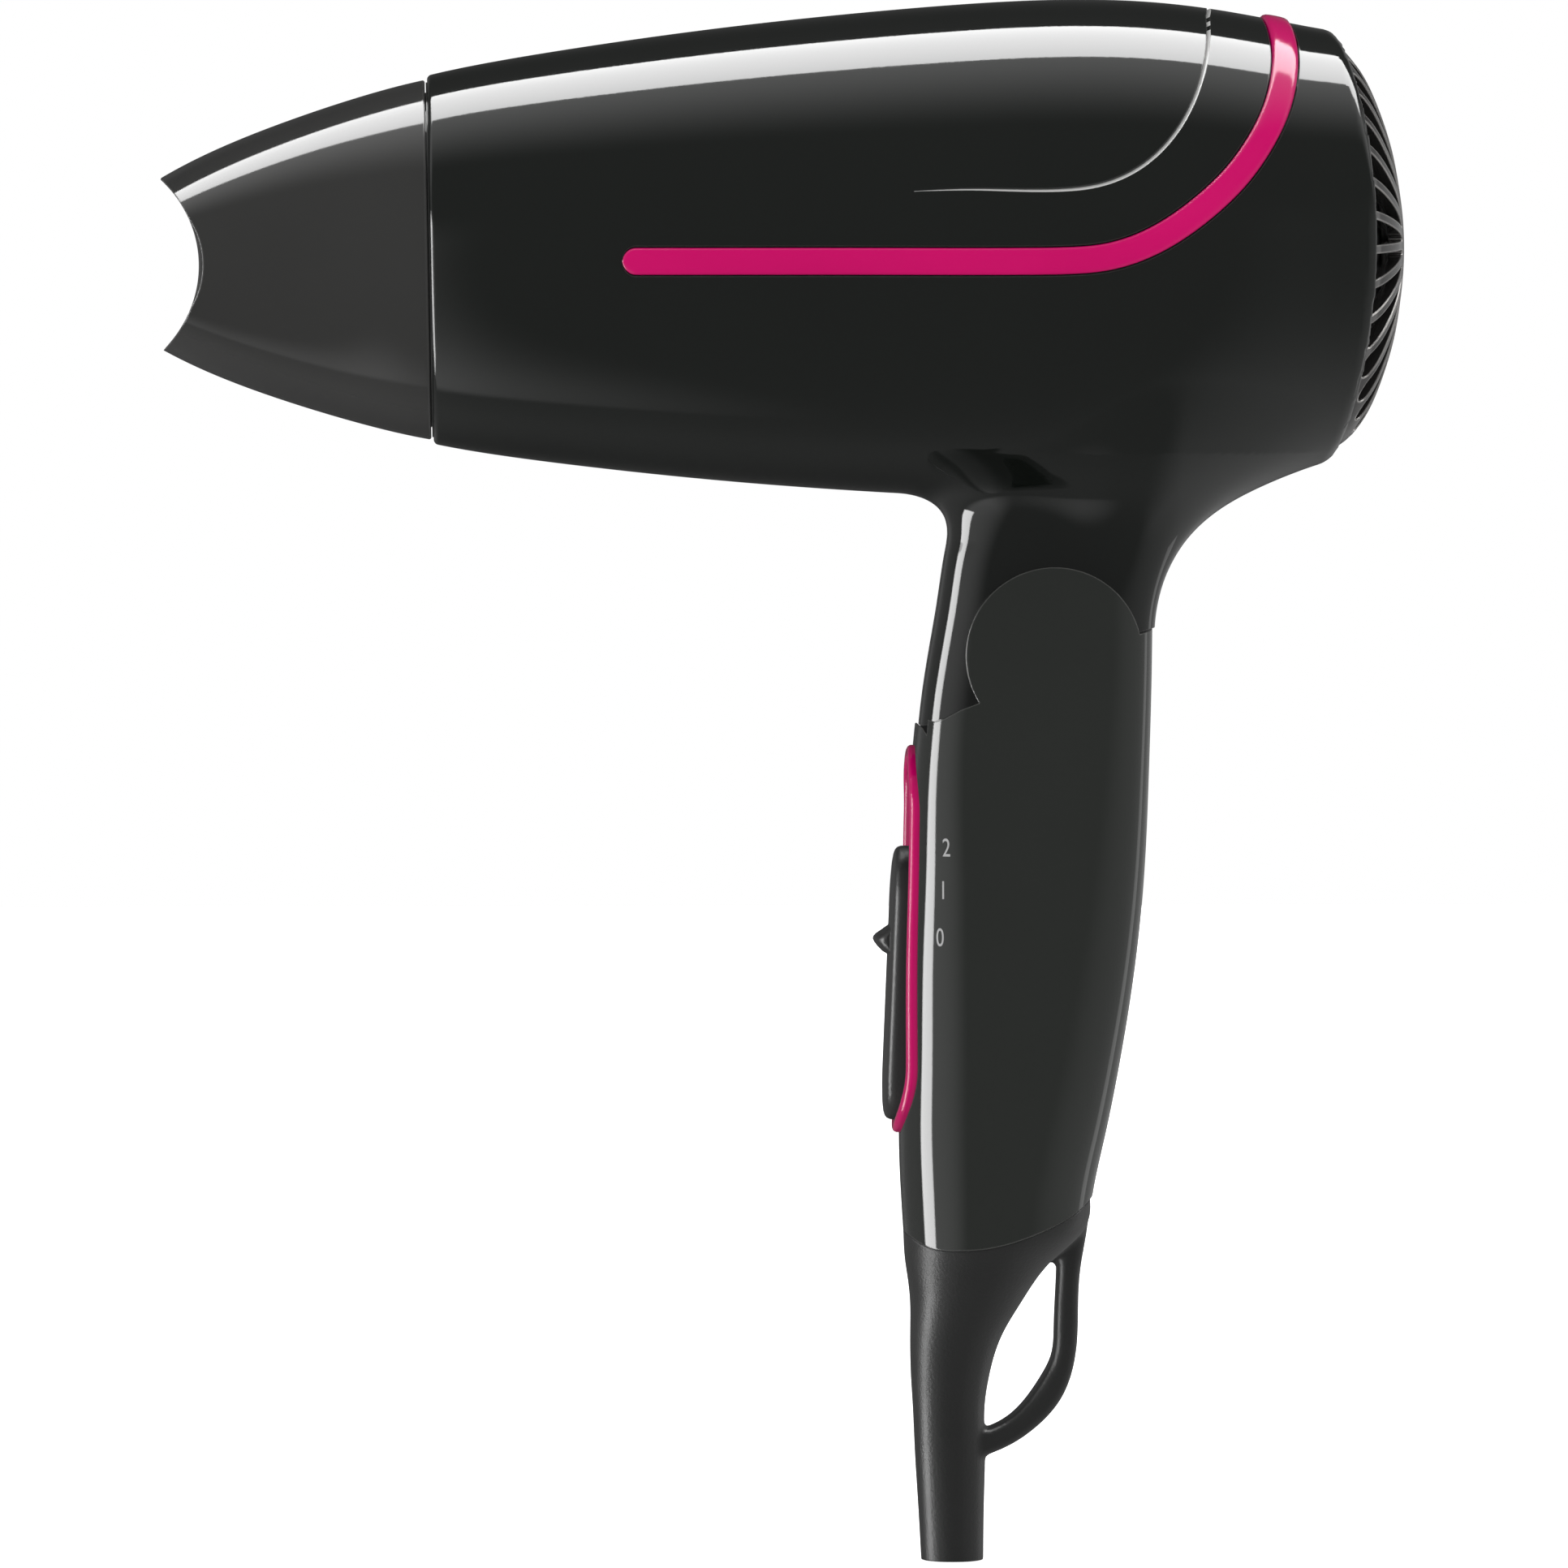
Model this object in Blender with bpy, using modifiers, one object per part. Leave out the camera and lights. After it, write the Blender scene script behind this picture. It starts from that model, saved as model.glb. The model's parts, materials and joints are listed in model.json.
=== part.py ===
"""Folding travel hair dryer, built as an assembly of its separate pieces.

Metres, +Z up.  The blow axis runs close to -X (nozzle) / +X (grille), the
handle hangs to -Z and the mould split plane of the housing is Y = 0.
"""
import math
import bpy
import bmesh
from mathutils import Matrix, Vector

MM = 0.001
GAP = 0.3                      # running / assembly clearance, mm

# ---- barrel -------------------------------------------------------------
BARREL_ORIGIN = (-47.03, 69.44)      # x, z of the outlet seam centre
BARREL_TILT = 1.0                    # degrees, rising to the rear
BARREL_WALL = 2.2
BARREL_STATIONS = [(0.15, 24.2), (1.1, 24.7), (5.4, 25.4), (14.0, 26.9), (22.7, 28.1),
                   (35.6, 29.65), (48.6, 31.0), (61.6, 32.0), (74.5, 32.8), (87.5, 33.0),
                   (96.1, 32.6), (104.8, 31.4), (113.4, 29.75), (120.1, 28.4), (125.0, 27.7)]
REAR_RIM_R = 108.0                   # the rear rim is curved in side view
REAR_RIM_X = 76.84
GRILLE_DOME_R = 49.6
GRILLE_APEX_U = 129.4
GRILLE_SLOTS = 32

# ---- hinge, neck, handle ------------------------------------------------
HINGE = (35.26, 17.24)               # x, z of the fold axis (runs along Y)
HINGE_R = 11.7
FOLD_MAX = 82.0                      # degrees, handle towards the nozzle
SWEEP_R = 19.7                       # clear radius for the neck inside the handle
NECK_HALF = 9.6
CHEEK_IN = 10.0
# z, front x, rear x, half width, squareness of the section
NECK_STATIONS = [(3.0, 17.6, 49.6, 9.6, 3.6), (11.2, 18.4, 49.5, 9.6, 3.6), (17.7, 19.4, 49.2, 9.6, 3.6),
                 (24.2, 20.5, 49.6, 9.6, 3.6), (30.7, 21.6, 50.8, 9.7, 3.5), (33.9, 21.9, 52.2, 10.0, 3.3),
                 (37.15, 20.7, 55.1, 11.0, 3.0), (40.4, 16.5, 60.5, 13.2, 2.7), (43.6, 12.0, 66.0, 16.0, 2.5)]
HANDLE_STATIONS = [(-66.0, 16.4, 39.4, 12.2, 2.6), (-60.0, 16.0, 40.4, 12.7, 2.6), (-53.6, 15.6, 41.4, 13.1, 2.6),
                   (-47.1, 15.4, 42.8, 13.4, 2.7), (-37.4, 15.6, 44.7, 13.7, 2.9), (-24.4, 15.9, 46.7, 13.9, 3.2),
                   (-11.4, 16.5, 47.9, 14.0, 3.6), (1.5, 17.1, 48.4, 14.0, 4.1), (14.5, 18.4, 48.7, 14.0, 4.5),
                   (30.0, 19.6, 48.8, 14.0, 4.5)]
BOOT_STATIONS = [(-103.8, 18.4, 26.7, 4.15), (-95.7, 17.9, 26.8, 4.6), (-89.2, 17.5, 26.9, 5.0),
                 (-82.7, 17.2, 26.9, 5.6), (-79.5, 17.0, 27.4, 6.1), (-76.2, 16.9, 28.2, 6.8),
                 (-73.0, 16.9, 29.5, 7.6), (-69.8, 16.9, 31.4, 8.6), (-66.5, 16.6, 33.5, 9.8),
                 (-63.3, 16.15, 36.2, 11.0), (-60.0, 16.0, 40.3, 12.6), (-54.0, 15.6, 41.3, 13.05)]
SEAM_BOOT = [(10.0, -59.8), (16.0, -59.8), (18.4, -61.1), (22.7, -61.6), (27.05, -61.2),
             (29.6, -60.6), (33.6, -59.2), (38.5, -56.8), (40.7, -55.2), (48.0, -51.0)]
LOOP_OUTER = [(40.6, -58.0), (40.4, -60.0), (39.6, -64.7), (39.3, -69.1), (39.15, -74.6),
              (38.6, -78.2), (37.0, -82.3), (33.75, -86.0), (30.1, -88.5), (26.0, -90.2)]
LOOP_INNER = [(25.0, -86.6), (27.8, -86.0), (30.1, -84.7), (32.2, -82.6), (34.4, -79.4),
              (35.7, -76.8), (36.1, -72.8), (36.3, -68.0), (36.45, -63.2), (34.0, -58.0)]
LOOP_HALF = 3.4
CORD_BORE_R = 2.6

# ---- switch -------------------------------------------------------------
SWITCH_LEAN = 2.3                    # degrees, the track leans back going up
SWITCH_TRAVEL = 11.0
BEZEL_Z = (-46.7, 5.0)
BEZEL_HALF = 9.2
BEZEL_WALL = 1.5
SLIDER_Z = (-45.0, -8.4)

# ---- trim band centre line (x, z) --------------------------------------
BAND_HALF = 1.75
BAND_PATH = [(-20.2, 69.1), (31.0, 69.1), (36.2, 69.2), (40.5, 69.6), (44.8, 70.8), (49.2, 73.0),
             (53.4, 76.0), (57.8, 80.1), (61.3, 84.8), (63.6, 89.2), (64.9, 93.4), (65.6, 97.6),
             (65.9, 102.6), (65.9, 107.0)]


# ========================================================================
def clear_scene():
    for ob in list(bpy.data.objects):
        bpy.data.objects.remove(ob, do_unlink=True)


clear_scene()
MAIN = bpy.data.collections.new("travel_hair_dryer")
bpy.context.scene.collection.children.link(MAIN)
TMP = bpy.data.collections.new("cutters")
bpy.context.scene.collection.children.link(TMP)
TMP.hide_render = True


def material(name, rgb, rough, metal=0.0):
    m = bpy.data.materials.new(name)
    m.use_nodes = True
    b = m.node_tree.nodes["Principled BSDF"]
    b.inputs["Base Color"].default_value = (*rgb, 1.0)
    b.inputs["Roughness"].default_value = rough
    b.inputs["Metallic"].default_value = metal
    m.diffuse_color = (*rgb, 1.0)
    return m


MATS = {
    "gloss_black": ((0.012, 0.013, 0.013), 0.12, 0.0),
    "gloss_pink": ((0.52, 0.004, 0.13), 0.18, 0.0),
    "dark_chrome": ((0.10, 0.10, 0.105), 0.15, 0.9),
    "matte_black": ((0.02, 0.02, 0.021), 0.5, 0.0),
    "soft_rubber": ((0.025, 0.025, 0.027), 0.65, 0.0),
    "steel": ((0.55, 0.55, 0.56), 0.3, 1.0),
    "nichrome": ((0.40, 0.37, 0.33), 0.35, 1.0),
    "mica": ((0.55, 0.48, 0.36), 0.55, 0.0),
    "white_nylon": ((0.72, 0.72, 0.69), 0.45, 0.0),
    "grey_plastic": ((0.30, 0.31, 0.33), 0.4, 0.0),
    "board_tan": ((0.36, 0.25, 0.11), 0.5, 0.0),
    "wire_white": ((0.70, 0.70, 0.68), 0.45, 0.0),
}


def flush():
    bpy.context.view_layer.update()


def new_mesh(name, bm, coll=TMP, recalc=True):
    if recalc:
        bmesh.ops.recalc_face_normals(bm, faces=bm.faces)
    me = bpy.data.meshes.new(name)
    bm.to_mesh(me)
    bm.free()
    ob = bpy.data.objects.new(name, me)
    coll.objects.link(ob)
    if coll is TMP:
        ob.hide_render = True
        ob.display_type = "WIRE"
    return ob


def bake(ob):
    """Turn an object with modifiers or a curve into a plain world-space mesh."""
    flush()
    dg = bpy.context.evaluated_depsgraph_get()
    me = bpy.data.meshes.new_from_object(ob.evaluated_get(dg), depsgraph=dg)
    me.transform(ob.matrix_world)
    name = ob.name
    bpy.data.objects.remove(ob, do_unlink=True)
    bm = bmesh.new()
    bm.from_mesh(me)
    bmesh.ops.remove_doubles(bm, verts=bm.verts, dist=1e-6)
    bmesh.ops.dissolve_degenerate(bm, edges=bm.edges, dist=1e-7)
    return new_mesh(name, bm)


def lathe(name, profile, segs=40, axis="u"):
    """Revolve a closed (r, along) profile in mm with a Screw modifier."""
    me = bpy.data.meshes.new(name)
    pts = [(r * MM, 0.0, a * MM) for r, a in profile]
    n = len(pts)
    me.from_pydata(pts, [(i, (i + 1) % n) for i in range(n)], [])
    ob = bpy.data.objects.new(name, me)
    TMP.objects.link(ob)
    s = ob.modifiers.new("Screw", "SCREW")
    s.axis = "Z"
    s.steps = s.render_steps = segs
    s.use_merge_vertices = True
    s.merge_threshold = 0.00001
    if axis == "u":
        ob.matrix_world = barrel_matrix() @ Matrix.Rotation(math.radians(90), 4, "Y")
    return bake(ob)


def disc_profile(r, a0, a1):
    return [(0.0, a1), (r, a1), (r, a0), (0.0, a0)]


def ring_profile(r0, r1, a0, a1):
    return [(r0, a1), (r1, a1), (r1, a0), (r0, a0)]


def rod(name, r, a0, a1, segs=24, axis="u"):
    """Solid round bar along the barrel axis."""
    bm = bmesh.new()
    bmesh.ops.create_cone(bm, cap_ends=True, segments=segs, radius1=r * MM, radius2=r * MM,
                          depth=(a1 - a0) * MM)
    bmesh.ops.translate(bm, verts=bm.verts, vec=(0, 0, (a0 + a1) * 0.5 * MM))
    m = Matrix.Rotation(math.radians(90), 4, "Y")
    if axis == "u":
        m = barrel_matrix() @ m
    bmesh.ops.transform(bm, matrix=m, verts=bm.verts)
    return new_mesh(name, bm)


def rod_y(name, x, z, r, y0, y1, segs=24):
    bm = bmesh.new()
    bmesh.ops.create_cone(bm, cap_ends=True, segments=segs, radius1=r * MM, radius2=r * MM,
                          depth=(y1 - y0) * MM)
    bmesh.ops.rotate(bm, verts=bm.verts, matrix=Matrix.Rotation(math.radians(90), 3, "X"))
    bmesh.ops.translate(bm, verts=bm.verts, vec=(x * MM, (y0 + y1) * 0.5 * MM, z * MM))
    return new_mesh(name, bm)


def rod_z(name, x, y, r, z0, z1, segs=24):
    bm = bmesh.new()
    bmesh.ops.create_cone(bm, cap_ends=True, segments=segs, radius1=r * MM, radius2=r * MM,
                          depth=(z1 - z0) * MM)
    bmesh.ops.translate(bm, verts=bm.verts, vec=(x * MM, y * MM, (z0 + z1) * 0.5 * MM))
    return new_mesh(name, bm)


def box(name, x0, x1, y0, y1, z0, z1, m=None):
    bm = bmesh.new()
    bmesh.ops.create_cube(bm, size=1.0)
    bmesh.ops.scale(bm, verts=bm.verts, vec=((x1 - x0) * MM, (y1 - y0) * MM, (z1 - z0) * MM))
    bmesh.ops.translate(bm, verts=bm.verts, vec=((x0 + x1) / 2 * MM, (y0 + y1) / 2 * MM,
                                                 (z0 + z1) / 2 * MM))
    if m is not None:
        bmesh.ops.transform(bm, matrix=m, verts=bm.verts)
    return new_mesh(name, bm)


def prism_y(name, pts, y0, y1):
    """Extrude a side-view outline (x, z) in mm between two y values."""
    bm = bmesh.new()
    vs = [bm.verts.new((x * MM, y0 * MM, z * MM)) for x, z in pts]
    f = bm.faces.new(vs)
    r = bmesh.ops.extrude_face_region(bm, geom=[f])
    bmesh.ops.translate(bm, verts=[v for v in r["geom"] if isinstance(v, bmesh.types.BMVert)],
                        vec=(0, (y1 - y0) * MM, 0))
    return new_mesh(name, bm)


def prism_x(name, pts, x0, x1, m=None):
    """Extrude an end-view outline (y, z) in mm between two x values."""
    bm = bmesh.new()
    vs = [bm.verts.new((x0 * MM, y * MM, z * MM)) for y, z in pts]
    f = bm.faces.new(vs)
    r = bmesh.ops.extrude_face_region(bm, geom=[f])
    bmesh.ops.translate(bm, verts=[v for v in r["geom"] if isinstance(v, bmesh.types.BMVert)],
                        vec=((x1 - x0) * MM, 0, 0))
    if m is not None:
        bmesh.ops.transform(bm, matrix=m, verts=bm.verts)
    return new_mesh(name, bm)


def skin(name, rings, m=None):
    bm = bmesh.new()
    rows = [[bm.verts.new(tuple(c * MM for c in p)) for p in ring] for ring in rings]
    n = len(rows[0])
    for a, b in zip(rows, rows[1:]):
        for i in range(n):
            j = (i + 1) % n
            bm.faces.new((a[i], a[j], b[j], b[i]))
    bm.faces.new(list(reversed(rows[0])))
    bm.faces.new(rows[-1])
    if m is not None:
        bmesh.ops.transform(bm, matrix=m, verts=bm.verts)
    return new_mesh(name, bm)


def superellipse(cx, cy, a, b, n, power):
    out = []
    for i in range(n):
        t = 2 * math.pi * (i + 0.5) / n
        c, s = math.cos(t), math.sin(t)
        out.append((cx + a * math.copysign(abs(c) ** (2 / power), c),
                    cy + b * math.copysign(abs(s) ** (2 / power), s)))
    return out


def column(name, stations, off=0.0, n=28, power=2.6, z0=None, z1=None):
    """Loft of rounded sections stacked along Z, grown by off mm."""
    rings = []
    st = [tuple(s) if len(s) > 4 else tuple(s) + (power,) for s in sorted(stations)]
    stations = st
    if z0 is not None:
        st = [s for s in st if s[0] > z0 + 0.5]
        st = [interp(stations, z0)] + st
    if z1 is not None:
        st = [s for s in st if s[0] < z1 - 0.5]
        st = st + [interp(stations, z1)]
    for z, xf, xr, h, p in st:
        ring = superellipse((xf + xr) / 2, 0.0, (xr - xf) / 2 + off, h + off, n, p)
        rings.append([(x, y, z) for x, y in ring])
    return skin(name, rings)


def interp(stations, z):
    st = sorted(stations)
    if z <= st[0][0]:
        return (z,) + tuple(st[0][1:])
    for a, b in zip(st, st[1:]):
        if a[0] <= z <= b[0]:
            t = (z - a[0]) / (b[0] - a[0])
            return (z,) + tuple(a[k] + (b[k] - a[k]) * t for k in range(1, len(a)))
    return (z,) + tuple(st[-1][1:])


def barrel_matrix():
    return (Matrix.Translation((BARREL_ORIGIN[0] * MM, 0, BARREL_ORIGIN[1] * MM))
            @ Matrix.Rotation(math.radians(-BARREL_TILT), 4, "Y"))


def barrel_r(u):
    st = BARREL_STATIONS
    if u <= st[0][0]:
        return st[0][1]
    for (u0, r0), (u1, r1) in zip(st, st[1:]):
        if u0 <= u <= u1:
            return r0 + (r1 - r0) * (u - u0) / (u1 - u0)
    return st[-1][1]


def boolean(a, b, op, keep=False, solver="EXACT"):
    m = a.modifiers.new("cut", "BOOLEAN")
    m.operation = op
    m.object = b
    m.solver = solver
    name = a.name
    out = bake(a)
    if not keep:
        bpy.data.objects.remove(b, do_unlink=True)
    out.name = name
    return out


def minus(a, *bs):
    for b in bs:
        a = boolean(a, b, "DIFFERENCE")
    return a


def plus(a, *bs):
    for b in bs:
        a = boolean(a, b, "UNION")
    return a


def both(a, b):
    return boolean(a, b, "INTERSECT")


def copy(ob):
    c = ob.copy()
    c.data = ob.data.copy()
    TMP.objects.link(c)
    return c


def largest(ob):
    """Keep only the biggest connected body of a mesh."""
    bm = bmesh.new()
    bm.from_mesh(ob.data)
    seen, groups = set(), []
    for v in bm.verts:
        if v in seen:
            continue
        stack, grp = [v], []
        seen.add(v)
        while stack:
            w = stack.pop()
            grp.append(w)
            for e in w.link_edges:
                o = e.other_vert(w)
                if o not in seen:
                    seen.add(o)
                    stack.append(o)
        groups.append(grp)
    groups.sort(key=len, reverse=True)
    for g in groups[1:]:
        bmesh.ops.delete(bm, geom=g, context="VERTS")
    bm.to_mesh(ob.data)
    bm.free()
    return ob


def node(ob, name, mat, pivot=None, flat=False):
    """Publish a finished mesh as a named piece, with its origin on a pivot."""
    ob.name = name
    ob.data.name = name
    TMP.objects.unlink(ob)
    MAIN.objects.link(ob)
    ob.hide_render = False
    ob.display_type = "TEXTURED"
    if pivot is not None:
        p = Vector([c * MM for c in pivot])
        ob.data.transform(Matrix.Translation(-p))
        ob.location = p
    rgb, rough, metal = MATS[mat]
    ob.data.materials.clear()
    m = bpy.data.materials.get(mat) or material(mat, rgb, rough, metal)
    ob.data.materials.append(m)
    return ob


B = barrel_matrix()
AX_X = (B.to_3x3() @ Vector((1, 0, 0)))


def on_axis(u):
    p = B @ Vector((u * MM, 0, 0))
    return (p.x / MM, 0.0, p.z / MM)


def barrel_solid(name, off, u0=None, u1=None, segs=32):
    st = [s for s in BARREL_STATIONS]
    prof = [(0.0, (u1 if u1 is not None else 125.0))]
    pts = [(r + off, u) for u, r in st]
    if u0 is not None:
        pts = [(barrel_r(u0) + off, u0)] + [p for p in pts if p[1] > u0 + 0.4]
    if u1 is not None:
        pts = [p for p in pts if p[1] < u1 - 0.4] + [(barrel_r(u1) + off, u1)]
    prof += list(reversed(pts))
    prof.append((0.0, pts[0][1]))
    return lathe(name, prof, segs)


# ========================================================================
# Housing: barrel with neck, split left / right
# ========================================================================
SEAM_REAR = (49.9, 20.75)
hx, hz = HINGE


def arc(cx, cz, r, a0, a1, n):
    return [(cx + r * math.cos(math.radians(a0 + (a1 - a0) * i / n)),
             cz + r * math.sin(math.radians(a0 + (a1 - a0) * i / n))) for i in range(n + 1)]


rim_cut = prism_y("rim_cut", arc(REAR_RIM_X - REAR_RIM_R, 72.0, REAR_RIM_R, -30, 30, 20)
                  + [(-100.0, 126.0), (-100.0, -20.0), (62.3, -20.0)], -60, 60)

housing = barrel_solid("housing", 0.0)
# neck outline in side view: front spur, hinge round, rear shoulder
neck_outline = ([(10.0, 46.0), (10.0, 37.0), (16.5, 30.0), (16.5, 9.3), (22.9, 10.5), (25.2, 11.6)]
                + arc(hx, hz, HINGE_R - 0.4, 214, 374, 22)
                + [(47.6, 20.65), (49.4, 20.95), (56.0, 20.95), (56.0, 30.0), (68.0, 38.0), (68.0, 46.0)])
neck = both(column("neck", NECK_STATIONS, 0.0, 24, 3.2),
            prism_y("neck_outline", neck_outline, -20, 20))
housing = plus(housing, neck)
housing = both(housing, rim_cut)

# hollow of the barrel: outlet bore, main cavity following the wall, rear seat
cav = [(0.0, 130.0), (27.0, 130.0), (27.0, 113.0), (28.2, 110.0)]
cav += [(barrel_r(u) - BARREL_WALL, u) for u in (104.8, 92.0, 74.5, 57.0, 38.0, 18.0, 4.0)]
cav += [(18.2, 2.2), (18.2, -12.0), (0.0, -12.0)]
cavity = lathe("cavity", cav, 32)
collar = lathe("collar", ring_profile(17.6, 19.6, -6.5, 3.0), 32)
housing = plus(housing, collar)
housing = minus(housing, cavity)

# hollow of the neck with the hinge boss left standing
neck_in = both(column("neck_in", NECK_STATIONS, -2.0, 20, 3.2, 3.5, 43.0),
               prism_y("neck_in_o", [(14.0, 44.5), (14.0, 36.0), (17.0, 30.0), (19.0, 12.6), (24.5, 13.4)]
                       + arc(hx, hz, HINGE_R - 2.6, 205, 378, 18)
                       + [(48.5, 23.4), (54.0, 23.4), (66.0, 38.0), (66.0, 44.5)], -20, 20))
neck_in = minus(neck_in, rod_y("hboss", hx, hz, 5.0, -20, 20, 24))
housing = minus(housing, neck_in)
# wire exit through the underside of the hinge round
housing = minus(housing, box("wire_exit", 35.0, 40.5, -4.0, 4.0, 3.0, 10.6))
# screw boss high in the neck
NS = (31.0, 31.0)
housing = plus(housing, rod_y("nboss", NS[0], NS[1], 4.0, -8.9, 8.9, 20))
# pivot bore and washer seats
housing = minus(housing, rod_y("pbore", hx, hz, 2.8, -20, 20, 24))
for s in (-1, 1):
    y0, y1 = (8.5, 13.0) if s > 0 else (-13.0, -8.5)
    housing = minus(housing, rod_y("wseat", hx, hz, 7.3, y0, y1, 28))


def band_outline(half, path=BAND_PATH, extra=0.0):
    left, right = [], []
    p = [Vector(q) for q in path]
    for i, q in enumerate(p):
        a = p[max(i - 1, 0)]
        b = p[min(i + 1, len(p) - 1)]
        t = (b - a).normalized()
        nrm = Vector((-t.y, t.x))
        left.append(q + nrm * half)
        right.append(q - nrm * half)
    cap = [(p[0].x + half * math.cos(math.radians(a)), p[0].y + half * math.sin(math.radians(a)))
           for a in (120, 150, 180, 210, 240)]
    pts = [tuple(v) for v in reversed(left)] + cap + [tuple(v) for v in right]
    return pts


shell_minus = barrel_solid("bs", -1.2, 12.0, 121.0)
groove = minus(both(barrel_solid("bg", 2.0, 10.0, 123.0), prism_y("gp", band_outline(BAND_HALF + 0.25), -45, 45)),
               copy(shell_minus))
housing = minus(housing, groove)
band = minus(both(barrel_solid("bb", 0.62, 11.0, 122.0), prism_y("bp", band_outline(BAND_HALF), -45, 45)),
             barrel_solid("bs2", -0.9, 11.5, 121.5))
bpy.data.objects.remove(shell_minus, do_unlink=True)
node(largest(band), "accent_band", "gloss_pink")

left_half = box("lh", -90, 90, -45, -0.15, -20, 130)
right_half = box("rh", -90, 90, 0.15, 45, -20, 130)
shell_l = both(copy(housing), left_half)
shell_r = both(housing, right_half)
# neck screw: pilot on the left, clearance and head seat on the right
shell_l = minus(shell_l, rod_y("pl", NS[0], NS[1], 1.3, -7.6, 1.0, 14))
shell_r = minus(shell_r, rod_y("cl", NS[0], NS[1], 1.5, -1.0, 20, 14),
                rod_y("cb", NS[0], NS[1], 3.0, 6.4, 20, 18))
node(largest(shell_l), "barrel_shell_left", "gloss_black")
node(largest(shell_r), "barrel_shell_right", "gloss_black")


def screw(name, x, z, y_seat, y_tip, head_h=1.8):
    prof = [(0.0, y_seat + head_h), (2.0, y_seat + head_h), (2.6, y_seat + head_h - 0.6),
            (2.6, y_seat + 0.05), (1.0, y_seat + 0.05), (1.0, y_tip + 0.8), (0.0, y_tip)]
    ob = lathe(name, prof, 12, axis=None)
    ob.data.transform(Matrix.Translation((x * MM, 0, z * MM)) @ Matrix.Rotation(math.radians(-90), 4, "X"))
    cross = [box("c1", -1.5, 1.5, y_seat + head_h - 0.8, y_seat + head_h + 1, -0.3, 0.3),
             box("c2", -0.3, 0.3, y_seat + head_h - 0.8, y_seat + head_h + 1, -1.5, 1.5)]
    for c in cross:
        c.data.transform(Matrix.Translation((x * MM, 0, z * MM)))
    ob = minus(ob, *cross)
    return node(ob, name, "steel")


screw("neck_screw", NS[0], NS[1], 6.4, -6.6)

# ========================================================================
# Concentrator nozzle and its snap ring
# ========================================================================
# x behind the mouth, half height, half width (mm), all about the barrel axis
NOZ = [(-36.4, 10.6, 22.6), (-33.0, 12.2, 22.4), (-27.2, 14.6, 22.1), (-21.8, 16.6, 22.0), (-16.2, 19.3, 22.1),
       (-9.7, 21.4, 22.7), (-4.3, 22.8, 23.5), (-0.15, 23.9, 24.1)]


def nozzle_solid(name, off, u0, u1, n=32):
    st = [s for s in NOZ if u0 + 0.3 < s[0] < u1 - 0.3]

    def at(u):
        if u <= NOZ[0][0]:
            return NOZ[0][1:]
        for a, b in zip(NOZ, NOZ[1:]):
            if a[0] <= u <= b[0]:
                t = (u - a[0]) / (b[0] - a[0])
                return (a[1] + (b[1] - a[1]) * t, a[2] + (b[2] - a[2]) * t)
        return NOZ[-1][1:]
    rows = [(u0,) + tuple(at(u0))] + st + [(u1,) + tuple(at(u1))]
    rings = []
    for u, hh, hw in rows:
        k = max(0.0, min(1.0, -u / 36.0))
        rings.append([(u, y, z) for y, z in superellipse(0, 0, hw + off, hh + off, n, 2.0 + 0.4 * k)])
    return skin(name, rings, B)


noz = nozzle_solid("noz", 0.0, -37.0, -0.15)
noz_in = nozzle_solid("noz_in", -1.5, -38.0, 1.0)
noz = minus(noz, noz_in)
# scooped mouth, a round cut across Y
mcx, mcz = -91.9, 68.6
noz = minus(noz, prism_y("scoop", arc(mcx, mcz, 14.8, 0, 360, 48)[:-1], -30, 30))
noz = largest(noz)
node(noz, "concentrator_nozzle", "gloss_black", on_axis(0))
snap = minus(lathe("snap", [(19.9, -1.2), (21.0, -1.2), (21.0, -3.0), (20.7, -4.8), (19.9, -4.8)], 36),
             box("split", -10, 10, -0.8, 0.8, 15, 30, B))
node(largest(snap), "nozzle_snap_ring", "white_nylon", on_axis(0))

# ========================================================================
# Air path parts inside the barrel
# ========================================================================
# outlet grille: rim, two rings and eight spokes, seated inside the outlet bore
g = lathe("g0", ring_profile(16.6, 17.9, -2.0, 1.6), 32)
for k, (r0, r1) in enumerate(((3.0, 4.2), (10.0, 11.2))):
    g = plus(g, lathe("gr%d" % k, ring_profile(r0, r1, -1.2, 0.8), 16))
for k in range(8):
    spoke = box("sp", -0.9, 0.5, 3.6, 17.1, -0.6, 0.6)
    spoke.data.transform(B @ Matrix.Rotation(math.radians(45 * k + 22.5), 4, "X"))
    g = plus(g, spoke)
node(g, "outlet_grille", "matte_black")

node(lathe("liner", ring_profile(21.4, 22.0, 5.0, 52.0), 36), "mica_liner", "mica")
f1 = box("f1", 7.0, 50.0, -18.6, 18.6, -0.5, 0.5, B)
f2 = box("f2", 7.0, 50.0, -0.5, 0.5, -18.6, 18.6, B)
node(plus(f1, f2), "mica_former", "mica")


def curve(name, pts, r, cyclic=False, res=1):
    cu = bpy.data.curves.new(name, "CURVE")
    cu.dimensions = "3D"
    cu.bevel_depth = r * MM
    cu.bevel_resolution = res
    cu.use_fill_caps = True
    sp = cu.splines.new("POLY")
    sp.points.add(len(pts) - 1)
    for p, q in zip(sp.points, pts):
        p.co = (q[0] * MM, q[1] * MM, q[2] * MM, 1.0)
    ob = bpy.data.objects.new(name, cu)
    TMP.objects.link(ob)
    return bake(ob)


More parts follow.
